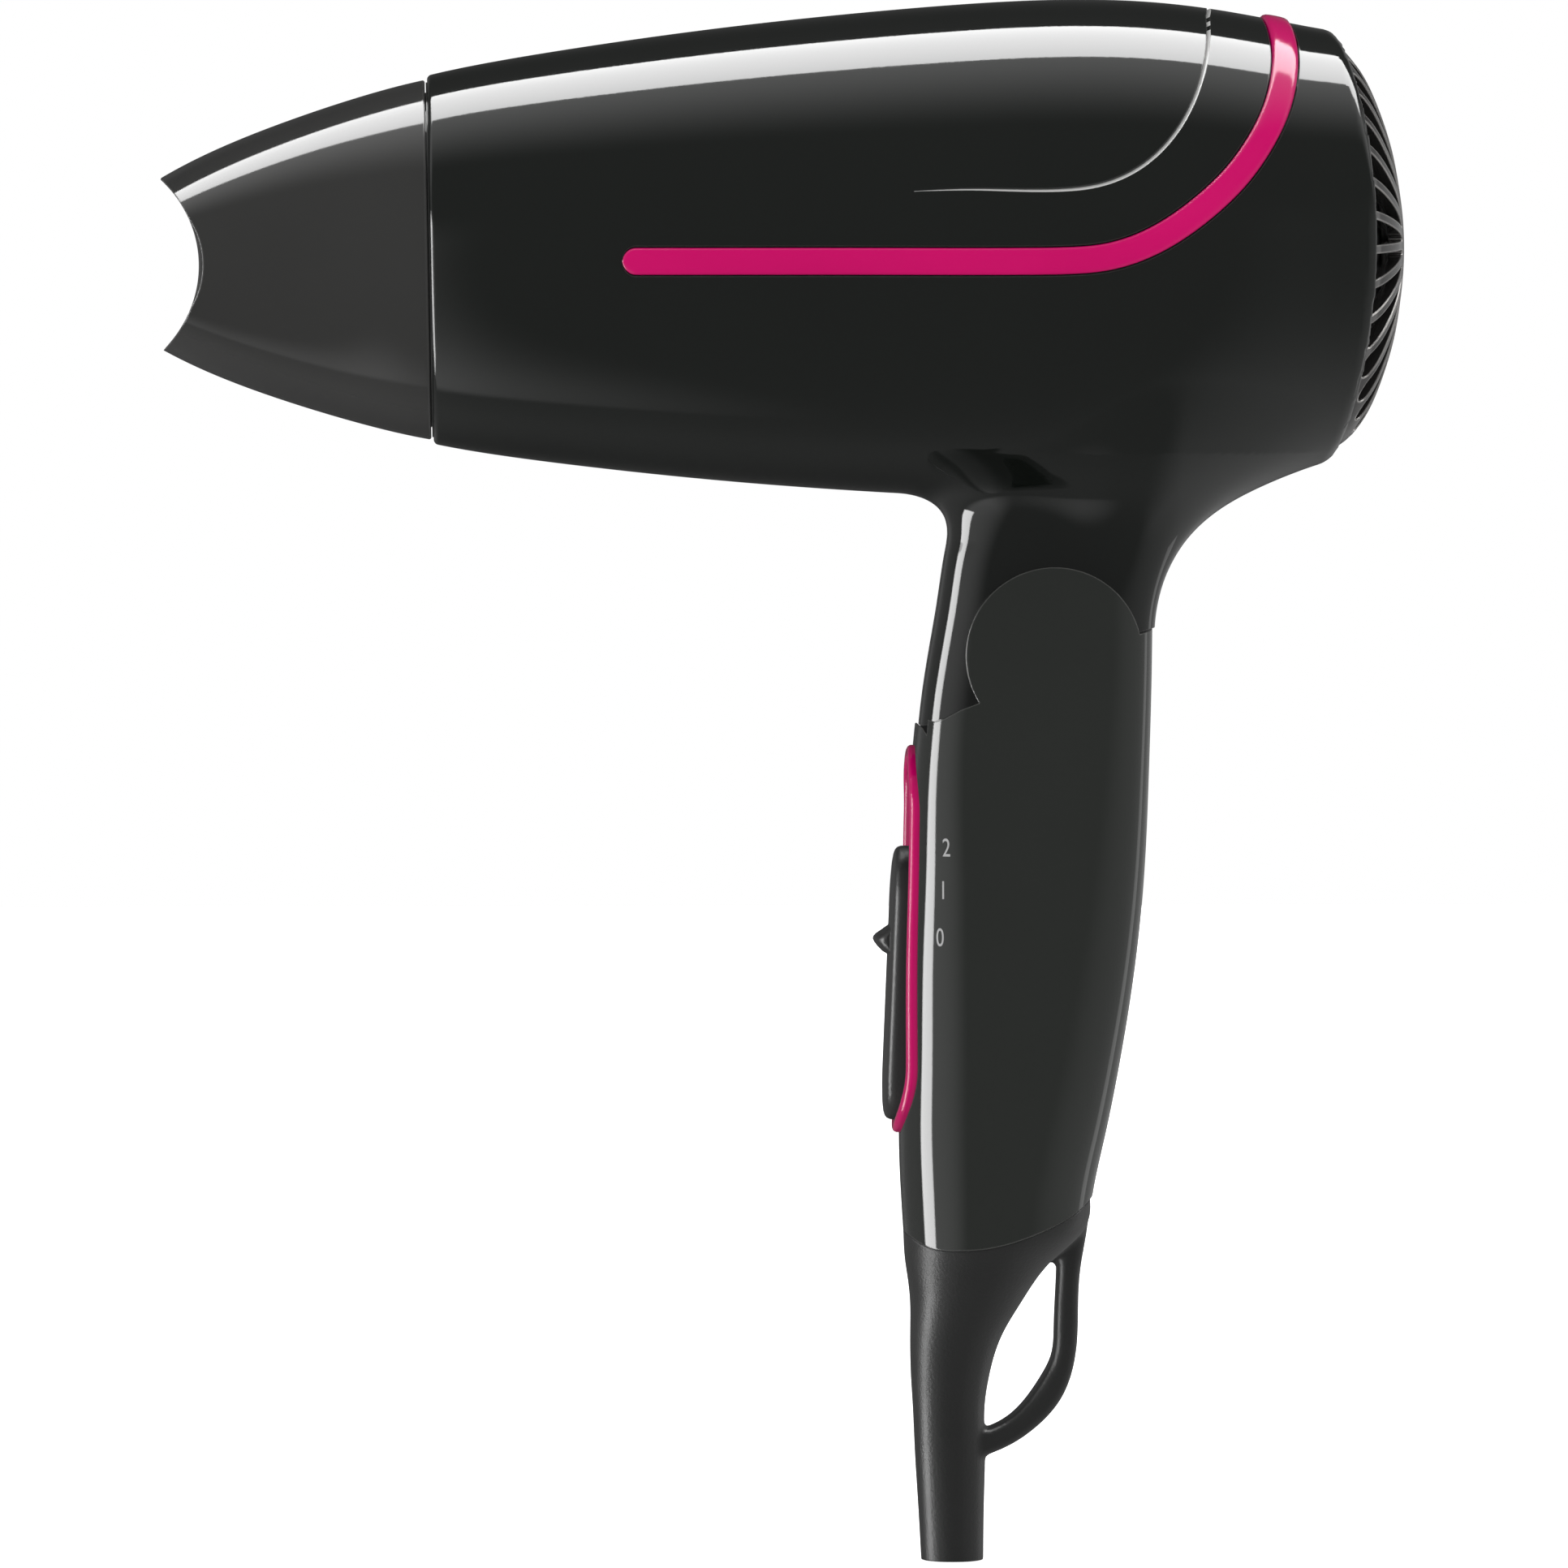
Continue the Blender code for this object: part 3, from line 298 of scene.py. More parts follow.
# ------------------------------------------------------------- mesh helpers
WORK = bpy.data.collections.new("work")
scene.collection.children.link(WORK)


def mesh_ob(name, v_mm, faces):
    me = bpy.data.meshes.new(name)
    me.from_pydata((np.asarray(v_mm) * MM).tolist(), [], faces)
    bm = bmesh.new()
    bm.from_mesh(me)
    bmesh.ops.recalc_face_normals(bm, faces=bm.faces)
    bm.to_mesh(me)
    bm.free()
    ob = bpy.data.objects.new(name, me)
    WORK.objects.link(ob)
    return ob


def skin(name, rows, close=True):
    n = len(rows[0])
    v = np.concatenate(rows)
    f = []
    for i in range(len(rows) - 1):
        for j in range(n):
            k = (j + 1) % n
            f.append((i * n + j, i * n + k, (i + 1) * n + k, (i + 1) * n + j))
    if close:
        f.append(tuple(reversed(range(n))))
        f.append(tuple((len(rows) - 1) * n + j for j in range(n)))
    return mesh_ob(name, v, f)


def ring_skin(name, rows):
    """Rows form a closed loop as well: a torus-like solid."""
    n, m = len(rows[0]), len(rows)
    v = np.concatenate(rows)
    f = []
    for i in range(m):
        a, b = i * n, ((i + 1) % m) * n
        for j in range(n):
            k = (j + 1) % n
            f.append((a + j, a + k, b + k, b + j))
    return mesh_ob(name, v, f)


def lathe(name, prof, n=128):
    """prof: closed (r, u) outline about the barrel axis; points on the axis allowed at both ends."""
    axis = prof[0][0] == 0.0
    t = 2 * np.pi * np.arange(n) / n
    pts = prof[1:-1] if axis else prof
    rows = [from_uvw(np.full(n, u), r * np.cos(t), r * np.sin(t)) for r, u in pts]
    if not axis:
        return ring_skin(name, rows)
    v = np.concatenate(rows + [from_uvw([prof[0][1]], [0], [0]), from_uvw([prof[-1][1]], [0], [0])])
    f = []
    for i in range(len(rows) - 1):
        for j in range(n):
            k = (j + 1) % n
            f.append((i * n + j, i * n + k, (i + 1) * n + k, (i + 1) * n + j))
    a, b = len(rows) * n, len(rows) * n + 1
    for j in range(n):
        k = (j + 1) % n
        f.append((a, k, j))
        f.append((b, (len(rows) - 1) * n + j, (len(rows) - 1) * n + k))
    return mesh_ob(name, v, f)


def prism_y(name, pts, y0, y1):
    n = len(pts)
    v = [(x, y0, z) for x, z in pts] + [(x, y1, z) for x, z in pts]
    f = [tuple(range(n)), tuple(reversed(range(n, 2 * n)))]
    f += [(i, (i + 1) % n, n + (i + 1) % n, n + i) for i in range(n)]
    return mesh_ob(name, v, f)


def prism_m(name, pts, x0, x1, m):
    """Outline (y, z) extruded along local x, placed by a matrix (metres)."""
    n = len(pts)
    v = [(x0, y, z) for y, z in pts] + [(x1, y, z) for y, z in pts]
    v = [tuple(c / MM for c in (m @ Vector([q * MM for q in p]))) for p in v]
    f = [tuple(range(n)), tuple(reversed(range(n, 2 * n)))]
    f += [(i, (i + 1) % n, n + (i + 1) % n, n + i) for i in range(n)]
    return mesh_ob(name, v, f)


def rod_y(name, x, z, r, y0, y1, n=64):
    return prism_y(name, arc(x, z, r, 0, 360, n)[:-1], y0, y1)


def box(name, x0, x1, y0, y1, z0, z1, m=None):
    v = [(x, y, z) for x in (x0, x1) for y in (y0, y1) for z in (z0, z1)]
    if m is not None:
        v = [tuple(c / MM for c in (m @ Vector([q * MM for q in p]))) for p in v]
    return mesh_ob(name, v, [(0, 1, 3, 2), (4, 6, 7, 5), (0, 4, 5, 1), (2, 3, 7, 6), (0, 2, 6, 4), (1, 5, 7, 3)])


def arc(cx, cz, r, a0, a1, n):
    return [(cx + r * math.cos(math.radians(a0 + (a1 - a0) * i / n)),
             cz + r * math.sin(math.radians(a0 + (a1 - a0) * i / n))) for i in range(n + 1)]


def smooth_path(pts, step):
    """Even points along a natural spline through 2-D or 3-D points."""
    p = np.array(pts, float)
    d = np.r_[0, np.cumsum(np.linalg.norm(np.diff(p, axis=0), axis=1))]
    fine = np.stack([Spline(d, p[:, k])(np.linspace(0, d[-1], 1200)) for k in range(p.shape[1])], 1)
    dd = np.r_[0, np.cumsum(np.linalg.norm(np.diff(fine, axis=0), axis=1))]
    t = np.linspace(0, dd[-1], max(3, int(round(dd[-1] / step)) + 1))
    return np.stack([np.interp(t, dd, fine[:, k]) for k in range(p.shape[1])], 1)


def mesh_now(ob):
    bpy.context.view_layer.update()
    dg = bpy.context.evaluated_depsgraph_get()
    return bpy.data.meshes.new_from_object(ob.evaluated_get(dg), depsgraph=dg)


def cut(a, b, op="DIFFERENCE", keep=False):
    for solver in ("MANIFOLD", "EXACT"):
        m = a.modifiers.new("b", "BOOLEAN")
        m.object, m.operation, m.solver = b, op, solver
        me = mesh_now(a)
        a.modifiers.clear()
        if len(me.polygons) > 3 and not (solver == "MANIFOLD" and same(me, a.data)):
            break
    old = a.data
    a.data = me
    bpy.data.meshes.remove(old)
    if not keep:
        bpy.data.objects.remove(b, do_unlink=True)
    return a


def same(m1, m2):
    return len(m1.vertices) == len(m2.vertices) and len(m1.polygons) == len(m2.polygons)


def minus(a, *bs):
    for b in bs:
        cut(a, b)
    return a


def plus(a, *bs):
    for b in bs:
        cut(a, b, "UNION")
    return a


def copy(ob):
    c = ob.copy()
    c.data = ob.data.copy()
    WORK.objects.link(c)
    return c


def get_v(me):
    v = np.empty(len(me.vertices) * 3)
    me.vertices.foreach_get("co", v)
    return v.reshape(-1, 3)


def set_v(me, v):
    me.vertices.foreach_set("co", np.ascontiguousarray(v).ravel())
    me.update()


def voxel(ob, size):
    m = ob.modifiers.new("r", "REMESH")
    m.mode = "VOXEL"
    m.voxel_size = size * MM
    m.use_smooth_shade = True
    me = mesh_now(ob)
    ob.modifiers.clear()
    ob.data = me
    return ob


def finish_normals(ob, field=None, angle=32, tol=0.03):
    """Smooth shading split at hard edges, with exact normals where a surface function is known."""
    me = ob.data
    me.polygons.foreach_set("use_smooth", [True] * len(me.polygons))
    me.set_sharp_from_angle(angle=math.radians(angle))
    me.update()
    if field is None:
        return ob
    nl = len(me.loops)
    base = np.empty(nl * 3)
    me.corner_normals.foreach_get("vector", base)
    base = base.reshape(-1, 3)
    p = get_v(me) / MM
    g = grad(field, p)
    g /= np.maximum(np.linalg.norm(g, axis=1, keepdims=True), 1e-9)
    near = np.abs(field(p)) < tol
    lv = np.empty(nl, np.int32)
    me.loops.foreach_get("vertex_index", lv)
    ls = np.empty(len(me.polygons), np.int32)
    lt = np.empty(len(me.polygons), np.int32)
    me.polygons.foreach_get("loop_start", ls)
    me.polygons.foreach_get("loop_total", lt)
    pn = np.empty(len(me.polygons) * 3)
    me.polygons.foreach_get("normal", pn)
    pn = pn.reshape(-1, 3)
    poly = np.repeat(np.arange(len(lt)), lt)
    ok_l = near[lv] & ((g[lv] * pn[poly]).sum(1) > 0.93)
    ok_p = np.ones(len(lt), bool)
    np.logical_and.at(ok_p, poly, ok_l)
    use = ok_p[poly]
    base[use] = g[lv][use]
    me.normals_split_custom_set(base.tolist())
    return ob


def paint_crease_highlight(ob, path, reach=0.75):
    """Paints a highlight on the sloped side of the crease (material slot 2), standing in for the overhead light it
    reflects.
    """
    me = ob.data
    nf = len(me.polygons)
    c = np.empty(nf * 3)
    me.polygons.foreach_get("center", c)
    c = c.reshape(-1, 3) / MM
    nm = np.empty(nf * 3)
    me.polygons.foreach_get("normal", nm)
    nm = nm.reshape(-1, 3)
    g = grad(f_barrel, c)
    g /= np.maximum(np.linalg.norm(g, axis=1, keepdims=True), 1e-9)
    d = (g * nm).sum(1)
    f = f_barrel(c)
    pick = np.nonzero((f < -0.008) & (f > -0.36) & (d > 0.45) & (d < 0.93))[0]
    kd = KDTree(len(path))
    for i, p in enumerate(path):
        kd.insert(p, i)
    kd.balance()
    hit = [int(i) for i in pick if kd.find(c[i])[2] < reach]
    idx = [0] * nf
    for i in hit:
        idx[i] = 1
    me.polygons.foreach_set("material_index", idx)


def done(ob, name, mat, body, nodes):
    ob.name = ob.data.name = name
    WORK.objects.unlink(ob)
    scene.collection.objects.link(ob)
    keep = np.zeros(len(ob.data.polygons), np.int32)
    ob.data.polygons.foreach_get("material_index", keep)
    mats = mat if isinstance(mat, list) else [mat]
    ob.data.materials.clear()
    for q in mats:
        ob.data.materials.append(q)
    if len(mats) > 1:
        ob.data.polygons.foreach_set("material_index", keep)
    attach(ob, body)
    if nodes:
        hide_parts(*nodes)
    return ob


# ---------------------------------------------------------------- materials
def new_mat(name):
    m = bpy.data.materials.new(name)
    m.use_nodes = True
    return m, m.node_tree.nodes, m.node_tree.links, m.node_tree.nodes["Principled BSDF"]


def moulded(name, rgb, rough, var=0.02, bump=0.0, grain=900.0, edge=0.00025, tint=0.12, metal=0.0,
            spec=0.5, edge_highlight_rgb=None, edge_highlight_amount=0.55):
    """Moulded surface: colour drift, roughness drift with fine wipe marks, grain bump, softened edges with a painted
    highlight along them.
    """
    m, n, l, b = new_mat(name)
    b.inputs["Metallic"].default_value = metal
    b.inputs["Specular IOR Level"].default_value = spec
    tc = n.new("ShaderNodeTexCoord")
    big = n.new("ShaderNodeTexNoise")
    big.inputs["Scale"].default_value = 38.0
    big.inputs["Detail"].default_value = 4.0
    l.new(tc.outputs["Object"], big.inputs["Vector"])
    mix = n.new("ShaderNodeMix")
    mix.data_type = "RGBA"
    mix.inputs["A"].default_value = (*[c * (1 - tint) for c in rgb], 1)
    mix.inputs["B"].default_value = (*[min(1, c * (1 + tint)) for c in rgb], 1)
    l.new(big.outputs["Fac"], mix.inputs["Factor"])
    col = mix.outputs["Result"]
    bev = n.new("ShaderNodeBevel")
    bev.samples = 4
    bev.inputs["Radius"].default_value = edge
    # painted edge highlight: where the softened normal leaves the true one, the edge colour is lighter, a painted
    # highlight, and a touch duller
    geo = n.new("ShaderNodeNewGeometry")
    dot = n.new("ShaderNodeVectorMath")
    dot.operation = "DOT_PRODUCT"
    l.new(bev.outputs["Normal"], dot.inputs[0])
    l.new(geo.outputs["Normal"], dot.inputs[1])
    painted_edge_highlight_mask = n.new("ShaderNodeMapRange")
    painted_edge_highlight_mask.inputs["From Min"].default_value = 0.995
    painted_edge_highlight_mask.inputs["From Max"].default_value = 0.86
    painted_edge_highlight_mask.inputs["To Min"].default_value = 0.0
    painted_edge_highlight_mask.inputs["To Max"].default_value = edge_highlight_amount
    l.new(dot.outputs["Value"], painted_edge_highlight_mask.inputs["Value"])
    # the lighter edge colour mixed in here is a painted highlight along the edges
    mix2 = n.new("ShaderNodeMix")
    mix2.data_type = "RGBA"
    edge_highlight_col = edge_highlight_rgb or [min(1, c * 1.6 + 0.012) for c in rgb]
    mix2.inputs["B"].default_value = (*edge_highlight_col, 1)
    l.new(col, mix2.inputs["A"])
    l.new(painted_edge_highlight_mask.outputs["Result"], mix2.inputs["Factor"])
    l.new(mix2.outputs["Result"], b.inputs["Base Color"])
    # roughness: broad drift plus fine wipe marks
    wipe = n.new("ShaderNodeTexNoise")
    wipe.inputs["Scale"].default_value = 260.0
    wipe.inputs["Detail"].default_value = 6.0
    mp = n.new("ShaderNodeMapping")
    mp.inputs["Scale"].default_value = (0.25, 1.0, 1.6)
    l.new(tc.outputs["Object"], mp.inputs["Vector"])
    l.new(mp.outputs["Vector"], wipe.inputs["Vector"])
    r1 = n.new("ShaderNodeMapRange")
    r1.inputs["From Min"].default_value = 0.3
    r1.inputs["From Max"].default_value = 0.7
    r1.inputs["To Min"].default_value = max(0.0, rough - var)
    r1.inputs["To Max"].default_value = rough + var
    l.new(big.outputs["Fac"], r1.inputs["Value"])
    r2 = n.new("ShaderNodeMath")
    r2.operation = "MULTIPLY_ADD"
    r2.inputs[1].default_value = var
    l.new(wipe.outputs["Fac"], r2.inputs[0])
    l.new(r1.outputs["Result"], r2.inputs[2])
    r3 = n.new("ShaderNodeMath")
    r3.operation = "MULTIPLY_ADD"
    r3.inputs[1].default_value = 0.15
    l.new(painted_edge_highlight_mask.outputs["Result"], r3.inputs[0])
    l.new(r2.outputs["Value"], r3.inputs[2])
    l.new(r3.outputs["Value"], b.inputs["Roughness"])
    bp = n.new("ShaderNodeBump")
    bp.inputs["Strength"].default_value = bump
    bp.inputs["Distance"].default_value = 0.00012
    gr = n.new("ShaderNodeTexNoise")
    gr.inputs["Scale"].default_value = grain
    gr.inputs["Detail"].default_value = 3.0
    l.new(tc.outputs["Object"], gr.inputs["Vector"])
    l.new(gr.outputs["Fac"], bp.inputs["Height"])
    l.new(bev.outputs["Normal"], bp.inputs["Normal"])
    l.new(bp.outputs["Normal"], b.inputs["Normal"])
    return m


# the edge colours given below are painted highlights along each part's edges
GLOSS_H = moulded("black_gloss_handle", (0.0165, 0.0185, 0.0165), 0.05, 0.012, 0.010, 1500, 0.00030, spec=0.5,
                  edge_highlight_rgb=(0.22, 0.22, 0.21))
GLOSS = moulded("black_gloss_abs", (0.0048, 0.0060, 0.0050), 0.035, 0.012, 0.012, 1500, 0.00024, spec=0.5,
                edge_highlight_rgb=(0.13, 0.132, 0.13))
GLOSS_N = moulded("black_gloss_nozzle", (0.030, 0.030, 0.029), 0.045, 0.012, 0.006, 1500, 0.00034, spec=0.5,
                  edge_highlight_rgb=(0.30, 0.30, 0.30))
PINK = moulded("pink_gloss_abs", (0.585, 0.0, 0.128), 0.08, 0.02, 0.003, 1500, 0.0003,
               edge_highlight_rgb=(0.80, 0.16, 0.34), spec=0.34)
# painted highlight: light grey for the crease's sloped side, in place of the overhead light it reflects
PAINTED_CREASE_HIGHLIGHT = moulded("painted_crease_highlight", (0.62, 0.62, 0.61), 0.22, 0.04, 0.02, 1500, 0.00005, tint=0.05)
CHROME = moulded("dark_chrome", (0.035, 0.034, 0.033), 0.10, 0.03, 0.02, 1200, 0.00040, metal=0.55,
                 edge_highlight_rgb=(0.62, 0.60, 0.58), edge_highlight_amount=0.9)
RUBBER = moulded("soft_rubber", (0.0145, 0.015, 0.0145), 0.40, 0.05, 0.35, 2600, 0.0004, spec=0.45)
SLIDE = moulded("satin_black", (0.018, 0.018, 0.018), 0.34, 0.05, 0.30, 2600, 0.00035)
MATTE = moulded("matte_black", (0.02, 0.02, 0.02), 0.5, 0.05, 0.3, 2200, 0.0003)
STEEL = moulded("steel", (0.52, 0.52, 0.53), 0.28, 0.06, 0.08, 1400, 0.00015, metal=1.0)
NICHROME = moulded("nichrome", (0.36, 0.33, 0.29), 0.38, 0.08, 0.15, 1800, 0.0001, metal=1.0)
MICA = moulded("mica_sheet", (0.50, 0.43, 0.31), 0.5, 0.08, 0.25, 700, 0.00015, tint=0.3)
NYLON = moulded("white_nylon", (0.72, 0.72, 0.69), 0.42, 0.05, 0.15, 1500, 0.0002)
GREY = moulded("grey_plastic", (0.28, 0.29, 0.31), 0.4, 0.05, 0.15, 1500, 0.0002)
BOARD = moulded("board_tan", (0.33, 0.22, 0.09), 0.5, 0.08, 0.2, 900, 0.00015, tint=0.25)
WIRE = moulded("wire_sleeve", (0.68, 0.68, 0.66), 0.4, 0.05, 0.1, 1500, 0.0001)
INK = moulded("grey_print", (0.42, 0.42, 0.42), 0.45, 0.05, 0.05, 2500, 0.00003)

SCREEN = moulded("dark_wire_mesh", (0.010, 0.010, 0.010), 0.5, 0.06, 0.6, 5200, 0.0001, metal=0.3)
CAD_MATS = {"outlet_grille": MATTE, "mica_liner": MICA, "mica_former": MICA, "heater_coil": NICHROME,
            "thermostat": STEEL, "thermal_fuse": NYLON, "rectifier_board": BOARD, "motor": STEEL,
            "motor_shaft": STEEL, "motor_mount_vanes": MATTE, "fan_impeller": GREY, "lint_screen": SCREEN,
            "neck_screw": STEEL, "handle_screw_1": STEEL, "handle_screw_2": STEEL, "handle_screw_3": STEEL,
            "clamp_screw_1": STEEL, "clamp_screw_2": STEEL, "fold_pivot_pin": STEEL,
            "hinge_washer_left": NYLON, "hinge_washer_right": NYLON, "switch_module": GREY,
            "cord_clamp": GREY, "handle_wires": WIRE, "barrel_wires": WIRE, "nozzle_snap_ring": NYLON}
for nm, mt in CAD_MATS.items():
    o = frame["nodes"][nm]
    if len(o.material_slots) == 0:
        o.data.materials.append(mt)
    for s in o.material_slots:
        s.link = "OBJECT"
        s.material = mt
    m = o.modifiers.new("edges", "EDGE_SPLIT")
    m.split_angle = math.radians(32)

# ============================================================ barrel + neck
us = np.r_[np.arange(-3, 130, 1.0)]
n = 160
t = 2 * np.pi * np.arange(n) / n
outer = skin("outer", [from_uvw(np.full(n, u), barrel_r(u) * np.cos(t), barrel_r(u) * np.sin(t)) for u in us])
outer = plus(outer, NECK.solid("neck", 2.0, 47.0, 0.7, 144))
outer = voxel(outer, 0.62)
v = get_v(outer.data) / MM
f0 = f_house(v)
inside = (v[:, 2] > 4.5)
u_, _, _ = to_uvw(v)
inside &= (u_ > -2) & (u_ < 128.6) & (np.abs(f0) < 5)
v[inside] = onto(f_house, v[inside], 6)
set_v(outer.data, v * MM)

REAR = [(-31.16 + 108.0 * math.cos(math.radians(a)), 72.0 + 108.0 * math.sin(math.radians(a)))
        for a in np.linspace(-32, 32, 97)]
rear_cut = prism_y("rear", REAR + [(140, 131), (140, 12)], -60, 60)
front_cut = box("front", -30, 0.15, -50, 50, -50, 50, B)
fr_u = [0.15, 0.16, 0.18, 0.22, 0.27, 0.33, 0.40, 0.48, 0.56, 0.64, 0.70]
front_rnd = lathe("frr", [(float(barrel_r(u)) - float(rnd(np.array(u - 0.15), 0.55)), u) for u in fr_u]
                  + [(float(barrel_r(0.70)) + 0.02, 0.71), (40.0, 0.71), (40.0, -3.0), (24.3 - 0.55, -3.0)], 256)
hx, hz = HINGE
lower = ([(0.0, 7.72), (18.3, 7.72), (20.8, 8.3), (24.6, 10.2)]
         + arc(hx, hz, HINGE_R - 0.35, 214, 374, 72) + [(47.5, 20.32), (49.4, 20.78), (90, 20.78), (90, -40), (0, -40)])
minus(outer, rear_cut, front_cut, prism_y("lower", lower, -40, 40), front_rnd)
FRONT_ROUND = True

collar = lathe("collar", [(17.6, -6.5), (17.6, 3.0), (22.15, 3.0), (23.5, 0.6), (23.5, -0.03), (22.15, -0.03), (22.15, -0.85), (21.9, -1.1), (19.6, -1.1),
                          (19.6, -6.1), (19.2, -6.5)], 128)
plus(outer, collar)
cav = [(0.0, 131.0), (27.15, 131.0), (27.15, 113.0), (28.2, 110.0)]
cav += [(float(barrel_r(u)) - WALL, u) for u in (104.8, 98, 90, 80, 70, 60, 50, 40, 30, 20, 10, 4.0)]
cav += [(18.2, 2.2), (18.2, -12.0), (0.0, -12.0)]
minus(outer, lathe("cavity", cav, 128))
nin = cut(NECK.solid("nin", 3.5, 44.0, 1.0, 96, -2.0),
          prism_y("nio", [(14.0, 46), (14.0, 38.0), (17.0, 30.0), (19.0, 12.6), (24.5, 13.4)]
                  + arc(hx, hz, HINGE_R - 2.6, 205, 378, 48)
                  + [(48.5, 23.4), (54.0, 23.4), (66.0, 38.0), (66.0, 46)], -20, 20), "INTERSECT")
minus(nin, rod_y("hb", hx, hz, 5.0, -20, 20, 48))
minus(outer, nin, box("we", 35.0, 40.5, -4, 4, 3, 10.6))
# a tongue at the rear drops into a slot in the handle, so no light shows through the joint
plus(outer, box("tongue", 45.7, 48.0, -6.0, 6.0, 19.3, 22.0))
NS = (31.0, 31.0)
plus(outer, rod_y("nb", NS[0], NS[1], 4.0, -8.8, 8.8, 40))
minus(outer, rod_y("pb", hx, hz, 2.8, -20, 20, 64),
      rod_y("ws1", hx, hz, 7.3, 8.5, 14, 72), rod_y("ws2", hx, hz, 7.3, -14, -8.5, 72))


def on_barrel(xz, side):
    """Side-view points carried onto the barrel skin."""
    x, z = xz[:, 0], xz[:, 1]
    dx, dz = x - BARREL_O[0], z - BARREL_O[1]
    u, w = dx * CT + dz * ST_, -dx * ST_ + dz * CT
    r = barrel_r(u)
    vv = np.sqrt(np.maximum(r * r - w * w, 0.0))
    return from_uvw(u, side * vv, w)


def over_top(pts, top_w):
    """Path on the skin: up one side, across the top at even angle steps, down the other side."""
    p2 = smooth_path(pts, 0.6)
    a = on_barrel(p2, -1)
    u0, v0, w0 = to_uvw(a[-1:])
    ang0 = math.atan2(-v0[0], w0[0])
    k = max(3, int(abs(ang0) * float(barrel_r(u0[0])) / 0.6))
    # the run along the axis eases out at the crown
    du = (to_uvw(a[-1:])[0][0] - to_uvw(a[-4:-3])[0][0]) / 3 / 0.6
    angs = np.linspace(ang0, -ang0, 2 * k + 1)[1:-1]
    s = (ang0 - np.abs(angs)) * float(barrel_r(u0[0]))
    half = ang0 * float(barrel_r(u0[0]))
    uu = u0[0] + du * (s - s * s / (2 * half)) + top_w * (s / half) * (2 - s / half)
    r = barrel_r(uu)
    mid = from_uvw(uu, -r * np.sin(angs), r * np.cos(angs))
    b = on_barrel(p2[::-1], 1)
    return np.concatenate([a, mid, b])


def sweep(name, path, section, closed=False, width=None, field=None):
    """Carries a (across, out) section along a path on a skin given by its field."""
    p = np.asarray(path)
    if closed:
        tg = np.roll(p, -1, 0) - np.roll(p, 1, 0)
    else:
        tg = np.gradient(p, axis=0)
    tg /= np.linalg.norm(tg, axis=1, keepdims=True)
    g = grad(field, p)
    g /= np.linalg.norm(g, axis=1, keepdims=True)
    g -= (g * tg).sum(1, keepdims=True) * tg
    g /= np.linalg.norm(g, axis=1, keepdims=True)
    side = np.cross(tg, g)
    w = np.ones(len(p)) if width is None else width
    rows = []
    for i in range(len(p)):
        rows.append(np.array([p[i] + side[i] * a * w[i] + g[i] * o for a, o in section]))
    return ring_skin(name, rows) if closed else skin(name, rows)


band_path = over_top(BAND_PATH, 0.0)
s_along = np.r_[0, np.cumsum(np.linalg.norm(np.diff(band_path, axis=0), axis=1))]
e = np.minimum(s_along, s_along[-1] - s_along)


def round_end(e, r):
    return np.where(e < r, np.sqrt(np.maximum(r * r - (r - e) ** 2, 0.0025)) / r, 1.0)


bw = round_end(e, 1.75)
sec = [(-1.75, -0.85), (-1.75, -0.05), (-1.68, 0.2), (-1.5, 0.4), (-1.2, 0.52), (-0.7, 0.57), (0, 0.585),
       (0.7, 0.57), (1.2, 0.52), (1.5, 0.4), (1.68, 0.2), (1.75, -0.05), (1.75, -0.85)]
dense_front = np.unique(np.r_[np.linspace(0, 1.75, 14), s_along[(e > 1.75)], s_along[-1] - np.linspace(0, 1.75, 14)])
bp = np.stack([np.interp(dense_front, s_along, band_path[:, k]) for k in range(3)], 1)
be = np.minimum(dense_front, s_along[-1] - dense_front)
band = sweep("band", bp, sec, width=round_end(be, 1.75), field=f_barrel)
groove = sweep("groove", bp, [(-1.93, -1.15), (-1.93, 3), (1.93, 3), (1.93, -1.15)],
               width=round_end(be, 1.75), field=f_barrel)
# the groove is cut a little wider than the band, so the band doesn't touch its sides
minus(outer, groove)

sw_path = over_top(SWOOSH, 0.0)
ss = np.r_[0, np.cumsum(np.linalg.norm(np.diff(sw_path, axis=0), axis=1))]
se = np.minimum(ss, ss[-1] - ss)
fade = np.clip(se / 22.0, 0.04, 1.0) ** 0.7
secs = []
tg = np.gradient(sw_path, axis=0)
tg /= np.linalg.norm(tg, axis=1, keepdims=True)
g = grad(f_barrel, sw_path)
g /= np.linalg.norm(g, axis=1, keepdims=True)
side = np.cross(tg, g)
rows = []
for i in range(len(sw_path)):
    k = fade[i]
    rows.append(np.array([sw_path[i] + side[i] * a + g[i] * o
                          for a, o in ((-0.10 * k, 0.03), (-0.04 * k, -0.34 * k), (0.42 * k, 0.0), (0.84 * k, 0.31),
                                       (0.84 * k, 1.2), (-0.10 * k, 1.2))]))
minus(outer, skin("swoosh", rows))

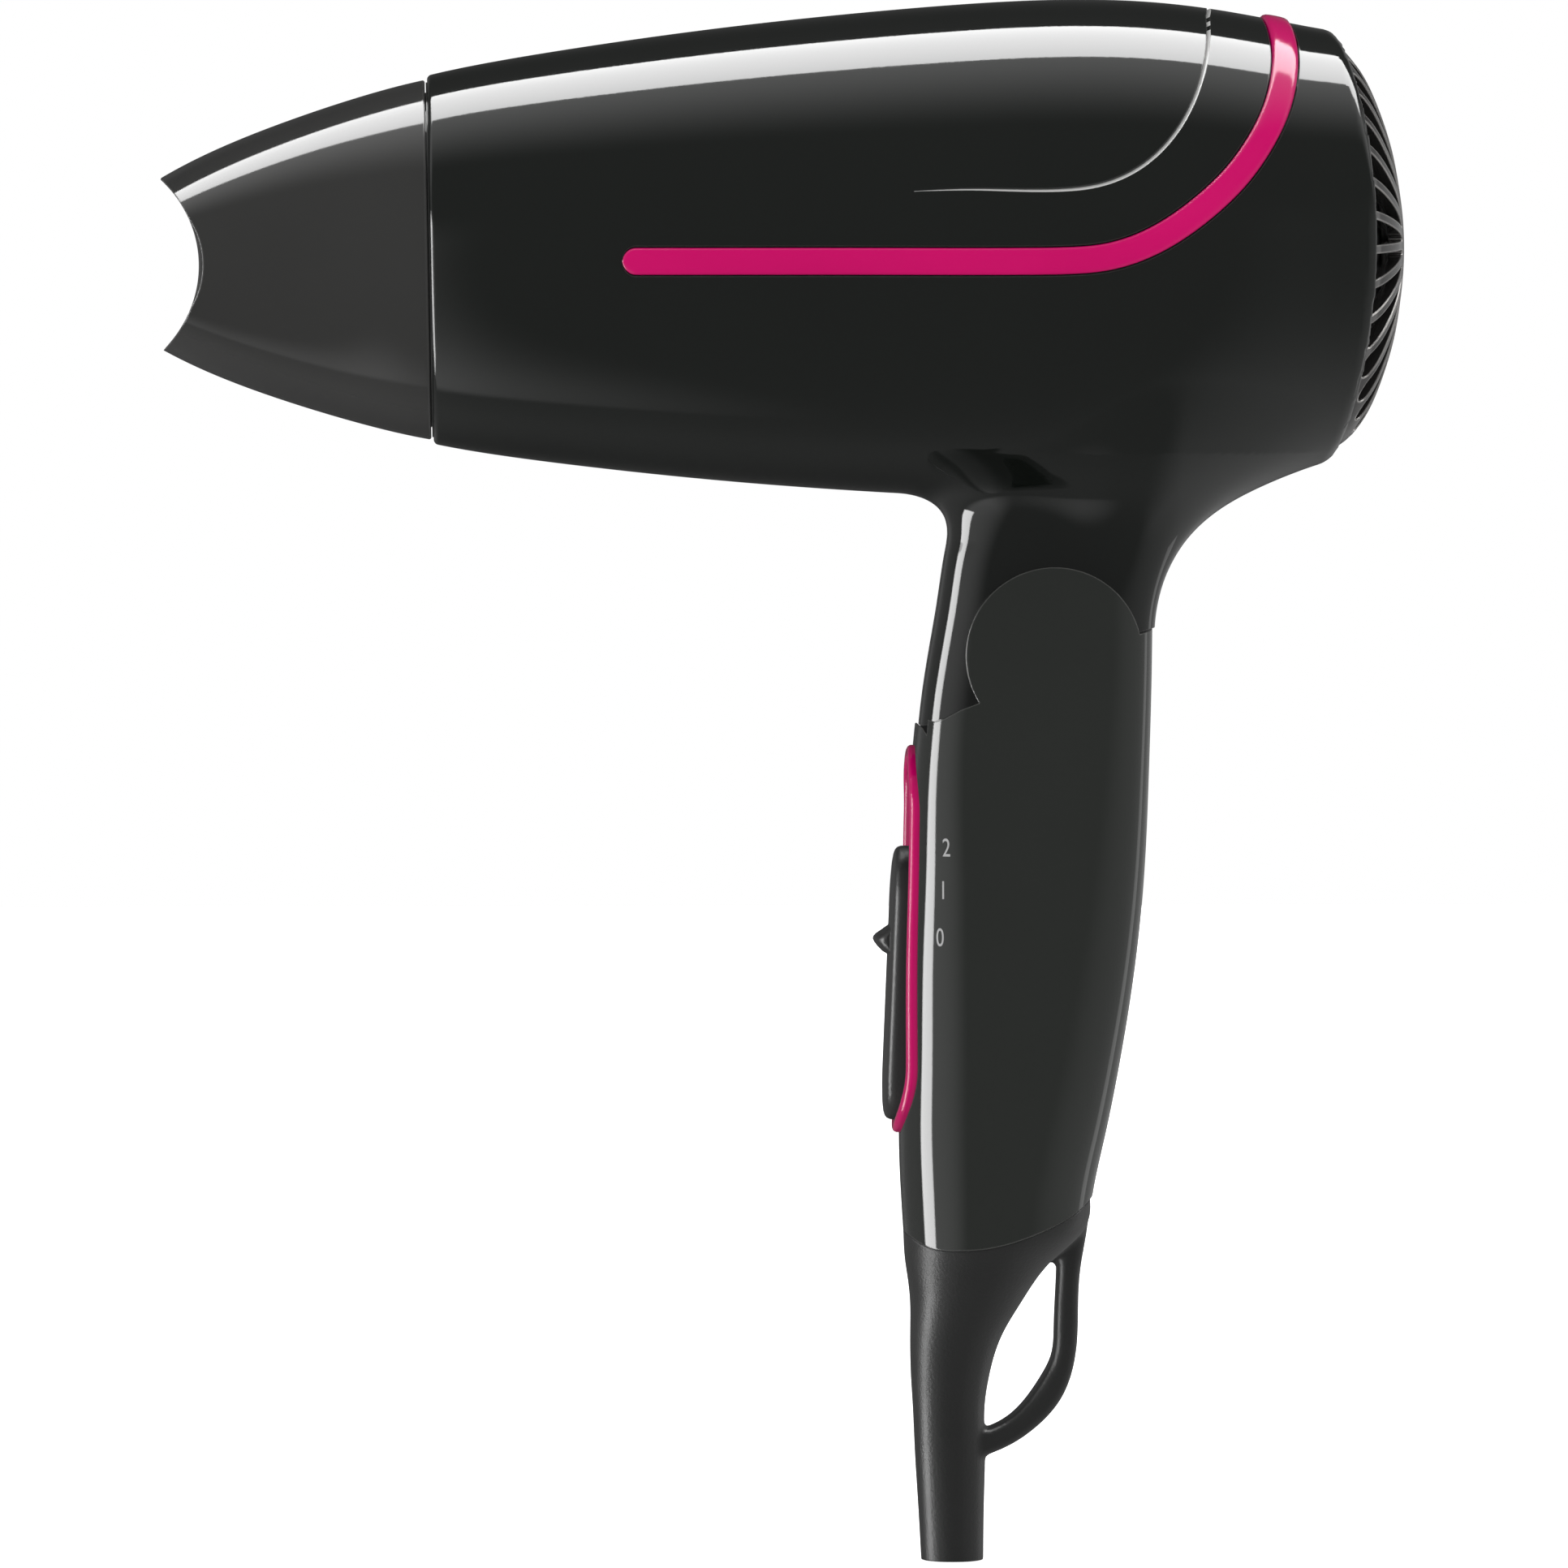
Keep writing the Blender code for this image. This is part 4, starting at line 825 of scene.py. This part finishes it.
left = copy(outer)
minus(left, box("k1", -120, 120, -0.12, 60, -60, 140))
right = outer
minus(right, box("k2", -120, 120, -60, 0.12, -60, 140))
minus(left, rod_y("pl", NS[0], NS[1], 1.3, -7.6, 1, 32))
minus(right, rod_y("cl", NS[0], NS[1], 1.5, -1, 20, 32), rod_y("cb", NS[0], NS[1], 3.0, 6.4, 20, 48))
for half, label in ((left, "left"), (right, "right")):
    half.data.polygons.foreach_set("material_index", [0] * len(half.data.polygons))
    finish_normals(half, f_house)
    # the crease's sloped side gets its painted highlight
    paint_crease_highlight(half, sw_path)
    done(half, "vis_barrel_" + label, [GLOSS, PAINTED_CREASE_HIGHLIGHT], "housing", ["barrel_shell_" + label])
finish_normals(band, None, 50)
done(band, "vis_accent_band", PINK, "housing", ["accent_band"])

# ================================================================= nozzle
nn = 192
t = 2 * np.pi * (np.arange(nn) + 0.5) / nn


def noz_rows(us, off):
    rows = []
    for u in us:
        a, b, p = float(noz_h(u)) + off, float(noz_w(u)) + off, float(noz_n(u))
        c, s = np.abs(np.cos(t)), np.abs(np.sin(t))
        r = 1.0 / ((c / b) ** p + (s / a) ** p) ** (1 / p)
        rows.append(from_uvw(np.full(nn, u), r * np.cos(t), r * np.sin(t)))
    return rows


noz = skin("noz", noz_rows(np.r_[np.arange(-37.5, -0.9, 0.5), -0.65, -0.5, -0.4, -0.3, -0.22, -0.17, -0.15], 0.0))
minus(noz, skin("nozi", noz_rows(np.arange(-39, 2.1, 1.0), -1.5)))
rows = []
for y, r in ((-40, 24.0), (-22.9, 15.72), (-22.0, 15.25), (-20.9, 14.8), (20.9, 14.8), (22.0, 15.25), (22.9, 15.72),
             (40, 24.0)):
    a = 2 * np.pi * np.arange(256) / 256
    rows.append(np.stack([-91.9 + r * np.cos(a), np.full(256, float(y)), 68.6 + r * np.sin(a)], 1))
minus(noz, skin("scoop", rows), box("tips", -95, -82.40, -40, 40, 40, 100))
# drop the slivers left beyond the scoop
bm = bmesh.new()
bm.from_mesh(noz.data)
seen, groups = set(), []
bm.verts.ensure_lookup_table()
for q in bm.verts:
    if q in seen:
        continue
    st, grp = [q], []
    seen.add(q)
    while st:
        w_ = st.pop()
        grp.append(w_)
        for ed in w_.link_edges:
            o_ = ed.other_vert(w_)
            if o_ not in seen:
                seen.add(o_)
                st.append(o_)
    groups.append(grp)
groups.sort(key=len)
for grp in groups[:-1]:
    bmesh.ops.delete(bm, geom=grp, context="VERTS")
bm.to_mesh(noz.data)
bm.free()
done(finish_normals(noz, f_nozzle), "vis_nozzle", GLOSS_N, "nozzle", ["concentrator_nozzle"])

# ============================================================ rear grille
SAG = Spline([-5, 0, 5, 9.5, 13, 16.1, 19, 21.5, 23.5, 25, 26, 26.75],
             [0.23, 0, 0.23, 0.9, 1.6, 2.5, 3.55, 4.65, 5.8, 6.95, 7.95, 9.0])
prof = [(0.0, APEX_U)]
for r in list(np.arange(0.9, 26.0, 0.7)) + [26.2, 26.5, 26.7]:
    prof.append((float(r), APEX_U - float(SAG(r))))
prof += [(26.75, prof[-1][1] - 0.5), (26.75, 112.8), (25.2, 112.8), (25.2, APEX_U - 10.2)]
for r in (24.6, 23.5, 21.5, 18.0, 14.0, 9.5, 5.0, 2.0):
    prof.append((r, APEX_U - 1.9 - float(SAG(r)) * 1.02))
prof.append((0.0, APEX_U - 1.9))
grille = lathe("grille", prof, 260)
vs, fs = [], []
RC, RW, RIB = 23.85, 1.80, 1.10
petal = [(RC + RW * 0.98 * math.cos(math.radians(a)), RW * math.sin(math.radians(a))) for a in np.linspace(-90, 90, 21)]
near = [(r, max(0.16, (2 * math.pi * r / SLOTS - RIB) / 2)) for r in (22.0, 20.5, 19.0, 17.0, 15.0, 13.0, 11.0, 9.6, 9.0)]
petal += near + [(8.7, 0.0)] + [(r, -q) for r, q in near[::-1]]
for k in range(SLOTS):
    a = 2 * math.pi * k / SLOTS + math.radians(93.4)
    base = len(vs)
    m = len(petal)
    for u in (112.0, 136.0):
        for r, q in petal:
            vs.append(tuple(from_uvw([u], [r * math.sin(a) + q * math.cos(a)], [r * math.cos(a) - q * math.sin(a)])[0]))
    fs.append(tuple(range(base, base + m)))
    fs.append(tuple(reversed(range(base + m, base + 2 * m))))
    for i in range(m):
        j = (i + 1) % m
        fs.append((base + i, base + j, base + m + j, base + m + i))
minus(grille, mesh_ob("petals", vs, fs))


def f_dome(p):
    u, v, w = to_uvw(p)
    r = np.hypot(v, w)
    sl = (SAG(r + 0.05) - SAG(r - 0.05)) / 0.1
    return (u - APEX_U + SAG(r)) / np.sqrt(1 + sl * sl)


done(finish_normals(grille, f_dome), "vis_rear_grille", CHROME, "housing", ["rear_grille"])

# fine domed lint screen close behind the slots, a thin sheet in a dark wire-mesh material
prof = [(0.0, APEX_U - 3.0)]
for r in np.arange(1.5, 24.6, 1.5):
    prof.append((float(r), APEX_U - 3.0 - float(SAG(r))))
prof += [(24.7, 112.4), (24.2, 112.4)]
for r in np.arange(23.4, 1.0, -1.5):
    prof.append((float(r), APEX_U - 3.35 - float(SAG(r))))
prof.append((0.0, APEX_U - 3.35))
done(finish_normals(lathe("lint", prof, 96), None), "vis_lint_screen", SCREEN, "housing", ["lint_screen"])

# ================================================================= handle
handle = HANDLE.solid("handle", -64.0, 30.0, 0.7, 224)
outline = ([(8.0, 9.2), (18.1, 8.95), (19.5, 8.5), (20.8, 8.9), (22.9, 10.1)]
           + arc(hx, hz, HINGE_R, 212, 14, 96)
           + [(47.3, 20.2), (49.1, 20.66), (60.0, 20.66), (60.0, -45.0)])
seam2 = smooth_path(SEAM_BOOT, 0.6)
handle = cut(handle, prism_y("ho", outline + [(x, z + 0.04) for x, z in seam2[::-1]], -25, 25), "INTERSECT")
lip = math.degrees(math.asin((hz - 7.62) / SWEEP_R))
swp = ([(5.0, 30.0), (5.0, 7.62)] + arc(hx, hz, SWEEP_R, 180 + lip, 298, 32)
       + arc(hx, hz, 12.0, 298, 450, 64) + [(hx, 30.0)])
minus(handle, prism_y("sw", swp, -CHEEK_IN - 0.1, CHEEK_IN + 0.1), HANDLE.solid("hin", -66.0, 3.0, 1.4, 128, -2.2))
TRACK = Matrix.Translation((TRACK_O[0] * MM, 0, TRACK_O[1] * MM)) @ Matrix.Rotation(LEAN, 4, "Y")


def stadium(half, z0, z1, n=24):
    return ([(half * math.cos(math.radians(180 * i / n)), z1 - half + half * math.sin(math.radians(180 * i / n)))
             for i in range(n + 1)]
            + [(half * math.cos(math.radians(180 + 180 * i / n)), z0 + half + half * math.sin(math.radians(180 + 180 * i / n)))
               for i in range(n + 1)])


bz0, bz1 = BEZEL_Z[0] - TRACK_O[1], BEZEL_Z[1] - TRACK_O[1]
pad = cut(prism_m("pad", stadium(BEZEL_HALF + 1.6, bz0 - 1.6, bz1 + 0.2), 2.4, 5.0, TRACK),
          HANDLE.solid("padc", -60, 8, 1.4, 96, -1.0), "INTERSECT")
plus(handle, pad)
minus(handle, box("tslot", 44.0, 48.25, -6.3, 6.3, 19.05, 22.0))
minus(handle, prism_m("rec", stadium(BEZEL_HALF + 0.12, bz0 - 0.12, bz1 + 0.12), -8.0, 3.6, TRACK),
      box("slot", 2.0, 8.0, -1.6, 1.6, -38.0 - TRACK_O[1], -14.0 - TRACK_O[1], TRACK))
HS = [(42.6, -6.5), (40.6, -34.0), (37.3, -46.0)]
for x, z in HS:
    plus(handle, cut(rod_y("hb", x, z, 4.1, -20, 20, 40), HANDLE.solid("hbc", -60, 8, 1.4, 96, -1.0), "INTERSECT"))
minus(handle, rod_y("pp", hx, hz, 2.75, -12.9, 12.9, 48))
hl, hr = copy(handle), handle
minus(hl, box("k3", 0, 70, -0.1, 30, -80, 50))
minus(hr, box("k4", 0, 70, -30, 0.1, -80, 50))
for x, z in HS:
    minus(hl, rod_y("pl", x, z, 1.3, -9, 1, 32))
    minus(hr, rod_y("cl", x, z, 1.5, -1, 20, 32), rod_y("cb", x, z, 3.0, 6.0, 20, 48))
done(finish_normals(hl, f_handle), "vis_handle_left", GLOSS_H, "handle", ["handle_shell_left"])
done(finish_normals(hr, f_handle), "vis_handle_right", GLOSS_H, "handle", ["handle_shell_right"])

# ---- bezel: rounded bead round the switch opening, laid on the handle front
out = stadium(BEZEL_HALF - BEZEL_WALL / 2, bz0 + BEZEL_WALL / 2, bz1 - BEZEL_WALL / 2, 40)
out = np.array(out)
loop = np.concatenate([out, out[:1]])
d = np.r_[0, np.cumsum(np.linalg.norm(np.diff(loop, axis=0), axis=1))]
tt = np.linspace(0, d[-1], 260, endpoint=False)
yz = np.stack([np.interp(tt, d, loop[:, k]) for k in (0, 1)], 1)
path = []
for y, s in yz:
    w3 = TRACK @ Vector((0, y * MM, s * MM))
    z = w3.z / MM
    cx, a, b, p = (float(q) for q in HANDLE.at(z))
    path.append((cx - a * (1 - (abs(y) / b) ** p) ** (1 / p), y, z))
bsec = [(-0.75, -1.6), (-0.75, 0.35), (-0.68, 0.62), (-0.48, 0.84), (-0.2, 0.95), (0.3, 0.95), (0.62, 0.84),
        (0.86, 0.62), (0.95, 0.35), (0.95, -1.6)]
bezel = sweep("bezel", np.array(path), bsec, closed=True, field=f_handle)
done(finish_normals(bezel, None, 50), "vis_switch_bezel", PINK, "handle", ["switch_bezel"])

# ---- slider: domed thumb plate with a fin
sz0, sz1 = SLIDER_Z[0] - TRACK_O[1], SLIDER_Z[1] - TRACK_O[1]
SH = BEZEL_HALF - BEZEL_WALL - 0.3
rows = []
for x, o in ((2.9, 0), (0.2, 0), (-0.3, 0.04), (-0.7, 0.2), (-0.98, 0.5), (-1.15, 0.95), (-1.27, 1.7), (-1.36, 3.0),
             (-1.40, 4.6)):
    q = stadium(max(SH - o, 0.6), sz0 + o, sz1 - o, 28)
    rows.append(np.array([tuple(c / MM for c in (TRACK @ Vector((x * MM, y * MM, z * MM)))) for y, z in q]))
slider = skin("slider", rows)
fin = []
for y in np.linspace(-4.6, 4.6, 33):
    k = math.sqrt(max(1 - (y / 4.75) ** 2, 0.0))
    k = k ** 0.6
    pr = [(-0.6, 2.3), (-1.5, 1.75), (-2.5, 1.0), (-3.2, 0.5), (-3.5, 0.1), (-3.52, -0.2), (-3.35, -0.55),
          (-2.9, -1.1), (-2.2, -1.75), (-1.3, -2.25), (-0.6, -2.4), (0.4, -2.0), (0.4, 2.0)]
    fin.append(np.array([tuple(c / MM for c in (TRACK @ Vector(((-0.9 + (x + 0.9) * k) * MM if x < -0.9 else x * MM,
                                                                y * MM, z * (0.55 + 0.45 * k) * MM)))) for x, z in pr]))
fin = skin("fin", fin)
plus(slider, fin, box("stem", 2.5, 8.3, -1.2, 1.2, -36.0 - TRACK_O[1], -28.0 - TRACK_O[1], TRACK))
done(finish_normals(slider, None, 38), "vis_switch_slider", SLIDE, "slider", ["switch_slider"])

# ---- position numbers, laid on the skin beside the slider
for ch, x, z in (("2", 21.05, -8.05), ("1", 20.65, -13.7), ("0", 20.25, -19.95)):
    cu = bpy.data.curves.new("digit", "FONT")
    cu.body = ch
    cu.size = 3.45 * MM
    cu.align_x = "CENTER"
    cu.align_y = "CENTER"
    cu.resolution_u = 6
    ob = bpy.data.objects.new("digit", cu)
    WORK.objects.link(ob)
    me = mesh_now(ob)
    bpy.data.objects.remove(ob, do_unlink=True)
    q = get_v(me) / MM
    me2 = bpy.data.meshes.new("digit")
    bm = bmesh.new()
    bm.from_mesh(me)
    bmesh.ops.triangulate(bm, faces=bm.faces)
    bmesh.ops.subdivide_edges(bm, edges=bm.edges, cuts=1)
    q = np.array([tuple(p.co) for p in bm.verts]) / MM
    cy = 0.5 * (q[:, 1].min() + q[:, 1].max())
    # across the digit runs round the skin, up the digit runs up the handle
    base = onto(f_handle, np.array([[x, -13.0, z]]), 1)[0]
    cxh, ah, bh, ph = (float(k) for k in HANDLE.at(z))
    base = np.array([x, -bh * (1 - (abs(x - cxh) / ah) ** ph) ** (1 / ph), z])
    g0 = grad(f_handle, base[None])[0]
    g0 /= np.linalg.norm(g0)
    up = np.array([0, 0, 1.0]) - g0 * g0[2]
    up /= np.linalg.norm(up)
    rt = np.cross(up, g0)
    rt = np.cross(up, g0) * 0.72
    w3 = base + q[:, :1] * rt + (q[:, 1:2] - cy) * up
    w3 = onto(f_handle, w3, 4)
    gg = grad(f_handle, w3)
    gg /= np.linalg.norm(gg, axis=1, keepdims=True)
    w3 += gg * 0.02
    for p, c in zip(bm.verts, w3):
        p.co = Vector((c * MM).tolist())
    r = bmesh.ops.extrude_face_region(bm, geom=list(bm.faces))
    gm = Vector((g0 * 0.06 * MM).tolist())
    for e_ in r["geom"]:
        if isinstance(e_, bmesh.types.BMVert):
            e_.co += -gm
    bmesh.ops.recalc_face_normals(bm, faces=bm.faces)
    bm.to_mesh(me2)
    bm.free()
    ob = bpy.data.objects.new("digit", me2)
    WORK.objects.link(ob)
    done(ob, "vis_mark_" + ch, INK, "handle", [])

# =================================================================== boot
boot = BOOT.solid("boot", -104.4, -54.2, 0.6, 128)
lo, li = smooth_path(LOOP_OUT, 0.8), smooth_path(LOOP_IN, 0.8)
m = min(len(lo), len(li))
lo = smooth_path(LOOP_OUT, 0.8)
tt = np.linspace(0, 1, 64)


def resample(p, k):
    d = np.r_[0, np.cumsum(np.linalg.norm(np.diff(p, axis=0), axis=1))]
    return np.stack([np.interp(np.linspace(0, d[-1], k), d, p[:, j]) for j in (0, 1)], 1)


lo, li = resample(lo, 80), resample(li, 80)[::-1]
rows = []
for a, b in zip(lo, li):
    c, hwd = (a + b) / 2, np.linalg.norm(a - b) / 2
    dr = (a - b) / (2 * hwd)
    row = []
    for q in range(28):
        th = 2 * math.pi * (q + 0.5) / 28
        cc, ss_ = math.cos(th), math.sin(th)
        e1 = math.copysign(abs(cc) ** 0.5, cc) * hwd
        e2 = math.copysign(abs(ss_) ** 0.5, ss_) * 3.4
        row.append((c[0] + dr[0] * e1, e2, c[1] + dr[1] * e1))
    rows.append(np.array(row))
plus(boot, skin("strap", rows))
voxel(boot, 0.42)
sm = boot.modifiers.new("s", "SMOOTH")
sm.factor = 0.5
sm.iterations = 4
me = mesh_now(boot)
boot.modifiers.clear()
boot.data = me
under = [(0.0, -59.92)] + [(x, z - 0.05) for x, z in seam2] + [(60.0, -51.12), (60.0, -20), (0.0, -20)]
minus(boot, prism_y("bu", under, -30, 30), box("flat", 0, 60, -20, 20, -120, -103.8))
plug = cut(Column([(-64.0, 16.3, 38.0, 11.0, 2.6), (-57.0, 15.9, 40.5, 12.8, 2.6), (-54.6, 15.7, 41.1, 13.0, 2.6)]
                  ).solid("plug", -63.9, -54.7, 1.0, 96, -2.8), box("pb", 0, 60, -20, 20, -63.5, -54.9), "INTERSECT")
plus(boot, plug)
n = 64
t = 2 * np.pi * np.arange(n) / n
for r, x, z0, z1 in ((2.6, 22.55, -110, -70), (3.8, 23.6, -72, -50)):
    minus(boot, skin("cord", [np.stack([x + r * np.cos(t), r * np.sin(t), np.full(n, z)], 1) for z in (z0, z1)]))
done(finish_normals(boot, None, 40), "vis_strain_relief", RUBBER, "handle", ["strain_relief_boot"])

for o in list(WORK.objects):
    bpy.data.objects.remove(o, do_unlink=True)

# ================================================================== stage
floor_z = CAD_BOX[0][2]
bm = bmesh.new()
bmesh.ops.create_grid(bm, x_segments=8, y_segments=8, size=1.0)
bmesh.ops.translate(bm, verts=bm.verts, vec=(0.45, 0.55, floor_z - 0.0002))
me = bpy.data.meshes.new("floor")
bm.to_mesh(me)
bm.free()
floor = bpy.data.objects.new("stage_floor", me)
scene.collection.objects.link(floor)
fm, fn, fl, fb = new_mat("pale_floor")
fb.inputs["Roughness"].default_value = 0.6
# For glossy rays the floor's colour is a painted pool of light: brightest just in front of the object, darker towards
# the camera and behind it. Other rays see an even pale floor, camera rays plain white.
ftc = fn.new("ShaderNodeNewGeometry")
fsep = fn.new("ShaderNodeSeparateXYZ")
fl.new(ftc.outputs["Position"], fsep.inputs["Vector"])
fr = fn.new("ShaderNodeMapRange")
fr.interpolation_type = "SMOOTHSTEP"
fr.inputs["From Min"].default_value = -0.42
fr.inputs["From Max"].default_value = -0.24
fr.inputs["To Min"].default_value = 0.14
fr.inputs["To Max"].default_value = 0.34
fl.new(fsep.outputs["Y"], fr.inputs["Value"])
fback = fn.new("ShaderNodeMapRange")
fback.interpolation_type = "SMOOTHSTEP"
fback.inputs["From Min"].default_value = -0.02
fback.inputs["From Max"].default_value = 0.45
fback.inputs["To Min"].default_value = 1.0
fback.inputs["To Max"].default_value = 0.25
fl.new(fsep.outputs["Y"], fback.inputs["Value"])
floor_painted_pool = fn.new("ShaderNodeMath")
floor_painted_pool.operation = "MULTIPLY"
fl.new(fr.outputs["Result"], floor_painted_pool.inputs[0])
fl.new(fback.outputs["Result"], floor_painted_pool.inputs[1])
floor_painted_pool_rgb = fn.new("ShaderNodeCombineColor")
for k in ("Red", "Green", "Blue"):
    fl.new(floor_painted_pool.outputs["Value"], floor_painted_pool_rgb.inputs[k])
flp = fn.new("ShaderNodeLightPath")
fmx = fn.new("ShaderNodeMix")
fmx.data_type = "RGBA"
fl.new(flp.outputs["Is Glossy Ray"], fmx.inputs["Factor"])
fmx.inputs["A"].default_value = (0.88, 0.88, 0.88, 1)
fl.new(floor_painted_pool_rgb.outputs["Color"], fmx.inputs["B"])
fl.new(fmx.outputs["Result"], fb.inputs["Base Color"])
fb.inputs["Emission Color"].default_value = (1, 1, 1, 1)
fl.new(flp.outputs["Is Camera Ray"], fb.inputs["Emission Strength"])
# towards the left the floor fades out of reflections, so the handle mirrors only the open studio
fx = fn.new("ShaderNodeMapRange")
fx.interpolation_type = "SMOOTHSTEP"
fx.inputs["From Min"].default_value = -0.34
fx.inputs["From Max"].default_value = -0.16
fx.inputs["To Min"].default_value = 1.0
fx.inputs["To Max"].default_value = 0.0
fl.new(fsep.outputs["X"], fx.inputs["Value"])
fgl = fn.new("ShaderNodeMath")
fgl.operation = "MULTIPLY"
fl.new(fx.outputs["Result"], fgl.inputs[0])
fl.new(flp.outputs["Is Glossy Ray"], fgl.inputs[1])
ftr = fn.new("ShaderNodeBsdfTransparent")
fms = fn.new("ShaderNodeMixShader")
fl.new(fgl.outputs["Value"], fms.inputs["Fac"])
fl.new(fb.outputs["BSDF"], fms.inputs[1])
fl.new(ftr.outputs["BSDF"], fms.inputs[2])
fl.new(fms.outputs["Shader"], fn["Material Output"].inputs["Surface"])
me.materials.append(fm)
floor.visible_glossy = False

world = bpy.data.worlds.new("studio")
scene.world = world
world.use_nodes = True
wn, wl = world.node_tree.nodes, world.node_tree.links
bg = wn["Background"]
lp = wn.new("ShaderNodeLightPath")
wtc = wn.new("ShaderNodeTexCoord")
sep = wn.new("ShaderNodeSeparateXYZ")
wl.new(wtc.outputs["Generated"], sep.inputs["Vector"])


def math_node(op, a, b, clamp=False):
    nd = wn.new("ShaderNodeMath")
    nd.operation = op
    nd.use_clamp = clamp
    for k, q in enumerate((a, b)):
        if isinstance(q, float):
            nd.inputs[k].default_value = q
        else:
            wl.new(q, nd.inputs[k])
    return nd.outputs["Value"]


def ramp(q, x0, x1, y0, y1):
    nd = wn.new("ShaderNodeMapRange")
    nd.interpolation_type = "SMOOTHSTEP"
    for k, val in (("From Min", x0), ("From Max", x1), ("To Min", y0), ("To Max", y1)):
        nd.inputs[k].default_value = val
    wl.new(q, nd.inputs["Value"])
    return nd.outputs["Result"]


SX, SY, SZ = sep.outputs["X"], sep.outputs["Y"], sep.outputs["Z"]
# soft glow under the overhead strip, on the camera's side of it
over = math_node("DIVIDE", SY, math_node("MAXIMUM", SZ, 0.05))
glow_t = math_node("MULTIPLY", ramp(over, -0.62, 0.16, 0.0, 1.15), ramp(SZ, 0.15, 0.5, 0.0, 1.0))
glow_t = math_node("MULTIPLY", glow_t, ramp(over, 0.22, 0.58, 1.0, 0.0))
# soft glow beside the left strip
side_ = math_node("DIVIDE", SY, math_node("MAXIMUM", math_node("MULTIPLY", SX, -1.0), 0.05))
glow_l = math_node("MULTIPLY", ramp(side_, -2.9, -0.30, 0.0, 0.85), ramp(SX, -0.35, -0.05, 1.0, 0.0))
glow_l = math_node("MULTIPLY", glow_l, ramp(SZ, 0.10, 0.45, 1.0, 0.0))
glow_l = math_node("MULTIPLY", glow_l, ramp(side_, -0.15, 0.25, 1.0, 0.15))
# and a fainter one from the right
side_r = math_node("DIVIDE", SY, math_node("MAXIMUM", SX, 0.05))
glow_r = math_node("MULTIPLY", ramp(side_r, -2.4, -0.1, 0.0, 0.30), ramp(SX, 0.05, 0.35, 0.0, 1.0))
glow_r = math_node("MULTIPLY", glow_r, ramp(SZ, 0.10, 0.45, 1.0, 0.0))
base_w = ramp(SY, 0.25, 0.90, 0.235, 0.06)
glossy = math_node("ADD", math_node("ADD", base_w, glow_t), math_node("ADD", glow_l, glow_r))
mx = wn.new("ShaderNodeMix")
mx.data_type = "FLOAT"
wl.new(lp.outputs["Is Glossy Ray"], mx.inputs["Factor"])
mx.inputs["A"].default_value = 0.95
wl.new(glossy, mx.inputs["B"])
mx2 = wn.new("ShaderNodeMix")
mx2.data_type = "FLOAT"
wl.new(lp.outputs["Is Camera Ray"], mx2.inputs["Factor"])
wl.new(mx.outputs["Result"], mx2.inputs["A"])
mx2.inputs["B"].default_value = 1.0
wl.new(mx2.outputs["Result"], bg.inputs["Strength"])
bg.inputs["Color"].default_value = (1, 1, 1, 1)


def strip(name, loc, look, sx, sy, radiance, diffuse=False, roll=0.0):
    li = bpy.data.lights.new(name, "AREA")
    li.shape = "RECTANGLE"
    li.size, li.size_y = sx, sy
    li.energy = radiance * math.pi * sx * sy
    ob = bpy.data.objects.new(name, li)
    d = Vector(look) - Vector(loc)
    ob.rotation_euler = (d.to_track_quat("-Z", "Y")).to_euler()
    ob.location = loc
    ob.visible_camera = False
    ob.visible_diffuse = diffuse
    scene.collection.objects.link(ob)
    return ob


ov = strip("key_over", (0.23, 0.40, 1.07), (0.23, 0.40, 0.0), 1.54, 0.52, 9.2)
ov.rotation_euler = (0, 0, 0)
lf = strip("strip_left", (-1.0, -0.08, -0.35), (0.03, 0.0, -0.35), 0.46, 1.3, 12.5)
rt = strip("strip_right", (0.95, 0.55, 0.0), (0.04, 0.0, 0.0), 0.25, 1.4, 0.6)
soft = strip("soft_front", (0.5, -1.6, 1.1), (0, 0, 0), 1.2, 1.2, 0.6, True)
soft.visible_glossy = False
# the handle's own mirror image under the barrel is left out, so the neck fillet stays an even black
for o_ in scene.objects:
    if o_.type == "MESH" and not o_.name.startswith(("vis_barrel", "vis_accent", "vis_nozzle", "vis_rear", "vis_lint")):
        o_.visible_glossy = False

cam_d = bpy.data.cameras.new("camera")
cam = bpy.data.objects.new("camera", cam_d)
scene.collection.objects.link(cam)
DIST = 1.39
YAW = math.radians(1.95)
PITCH = math.radians(2.56)
cam_d.sensor_width = 36.0
cam_d.lens = 36.0 * DIST / 0.20866
cam_d.clip_end = 50
cam.location = (0.00005 - DIST * math.sin(YAW) * math.cos(PITCH), -DIST * math.cos(YAW) * math.cos(PITCH),
                -0.0002 + DIST * math.sin(PITCH))
cam.rotation_euler = (math.radians(90) - PITCH, 0, -YAW)
scene.camera = cam
scene.view_settings.view_transform = "Standard"
scene.view_settings.look = "None"
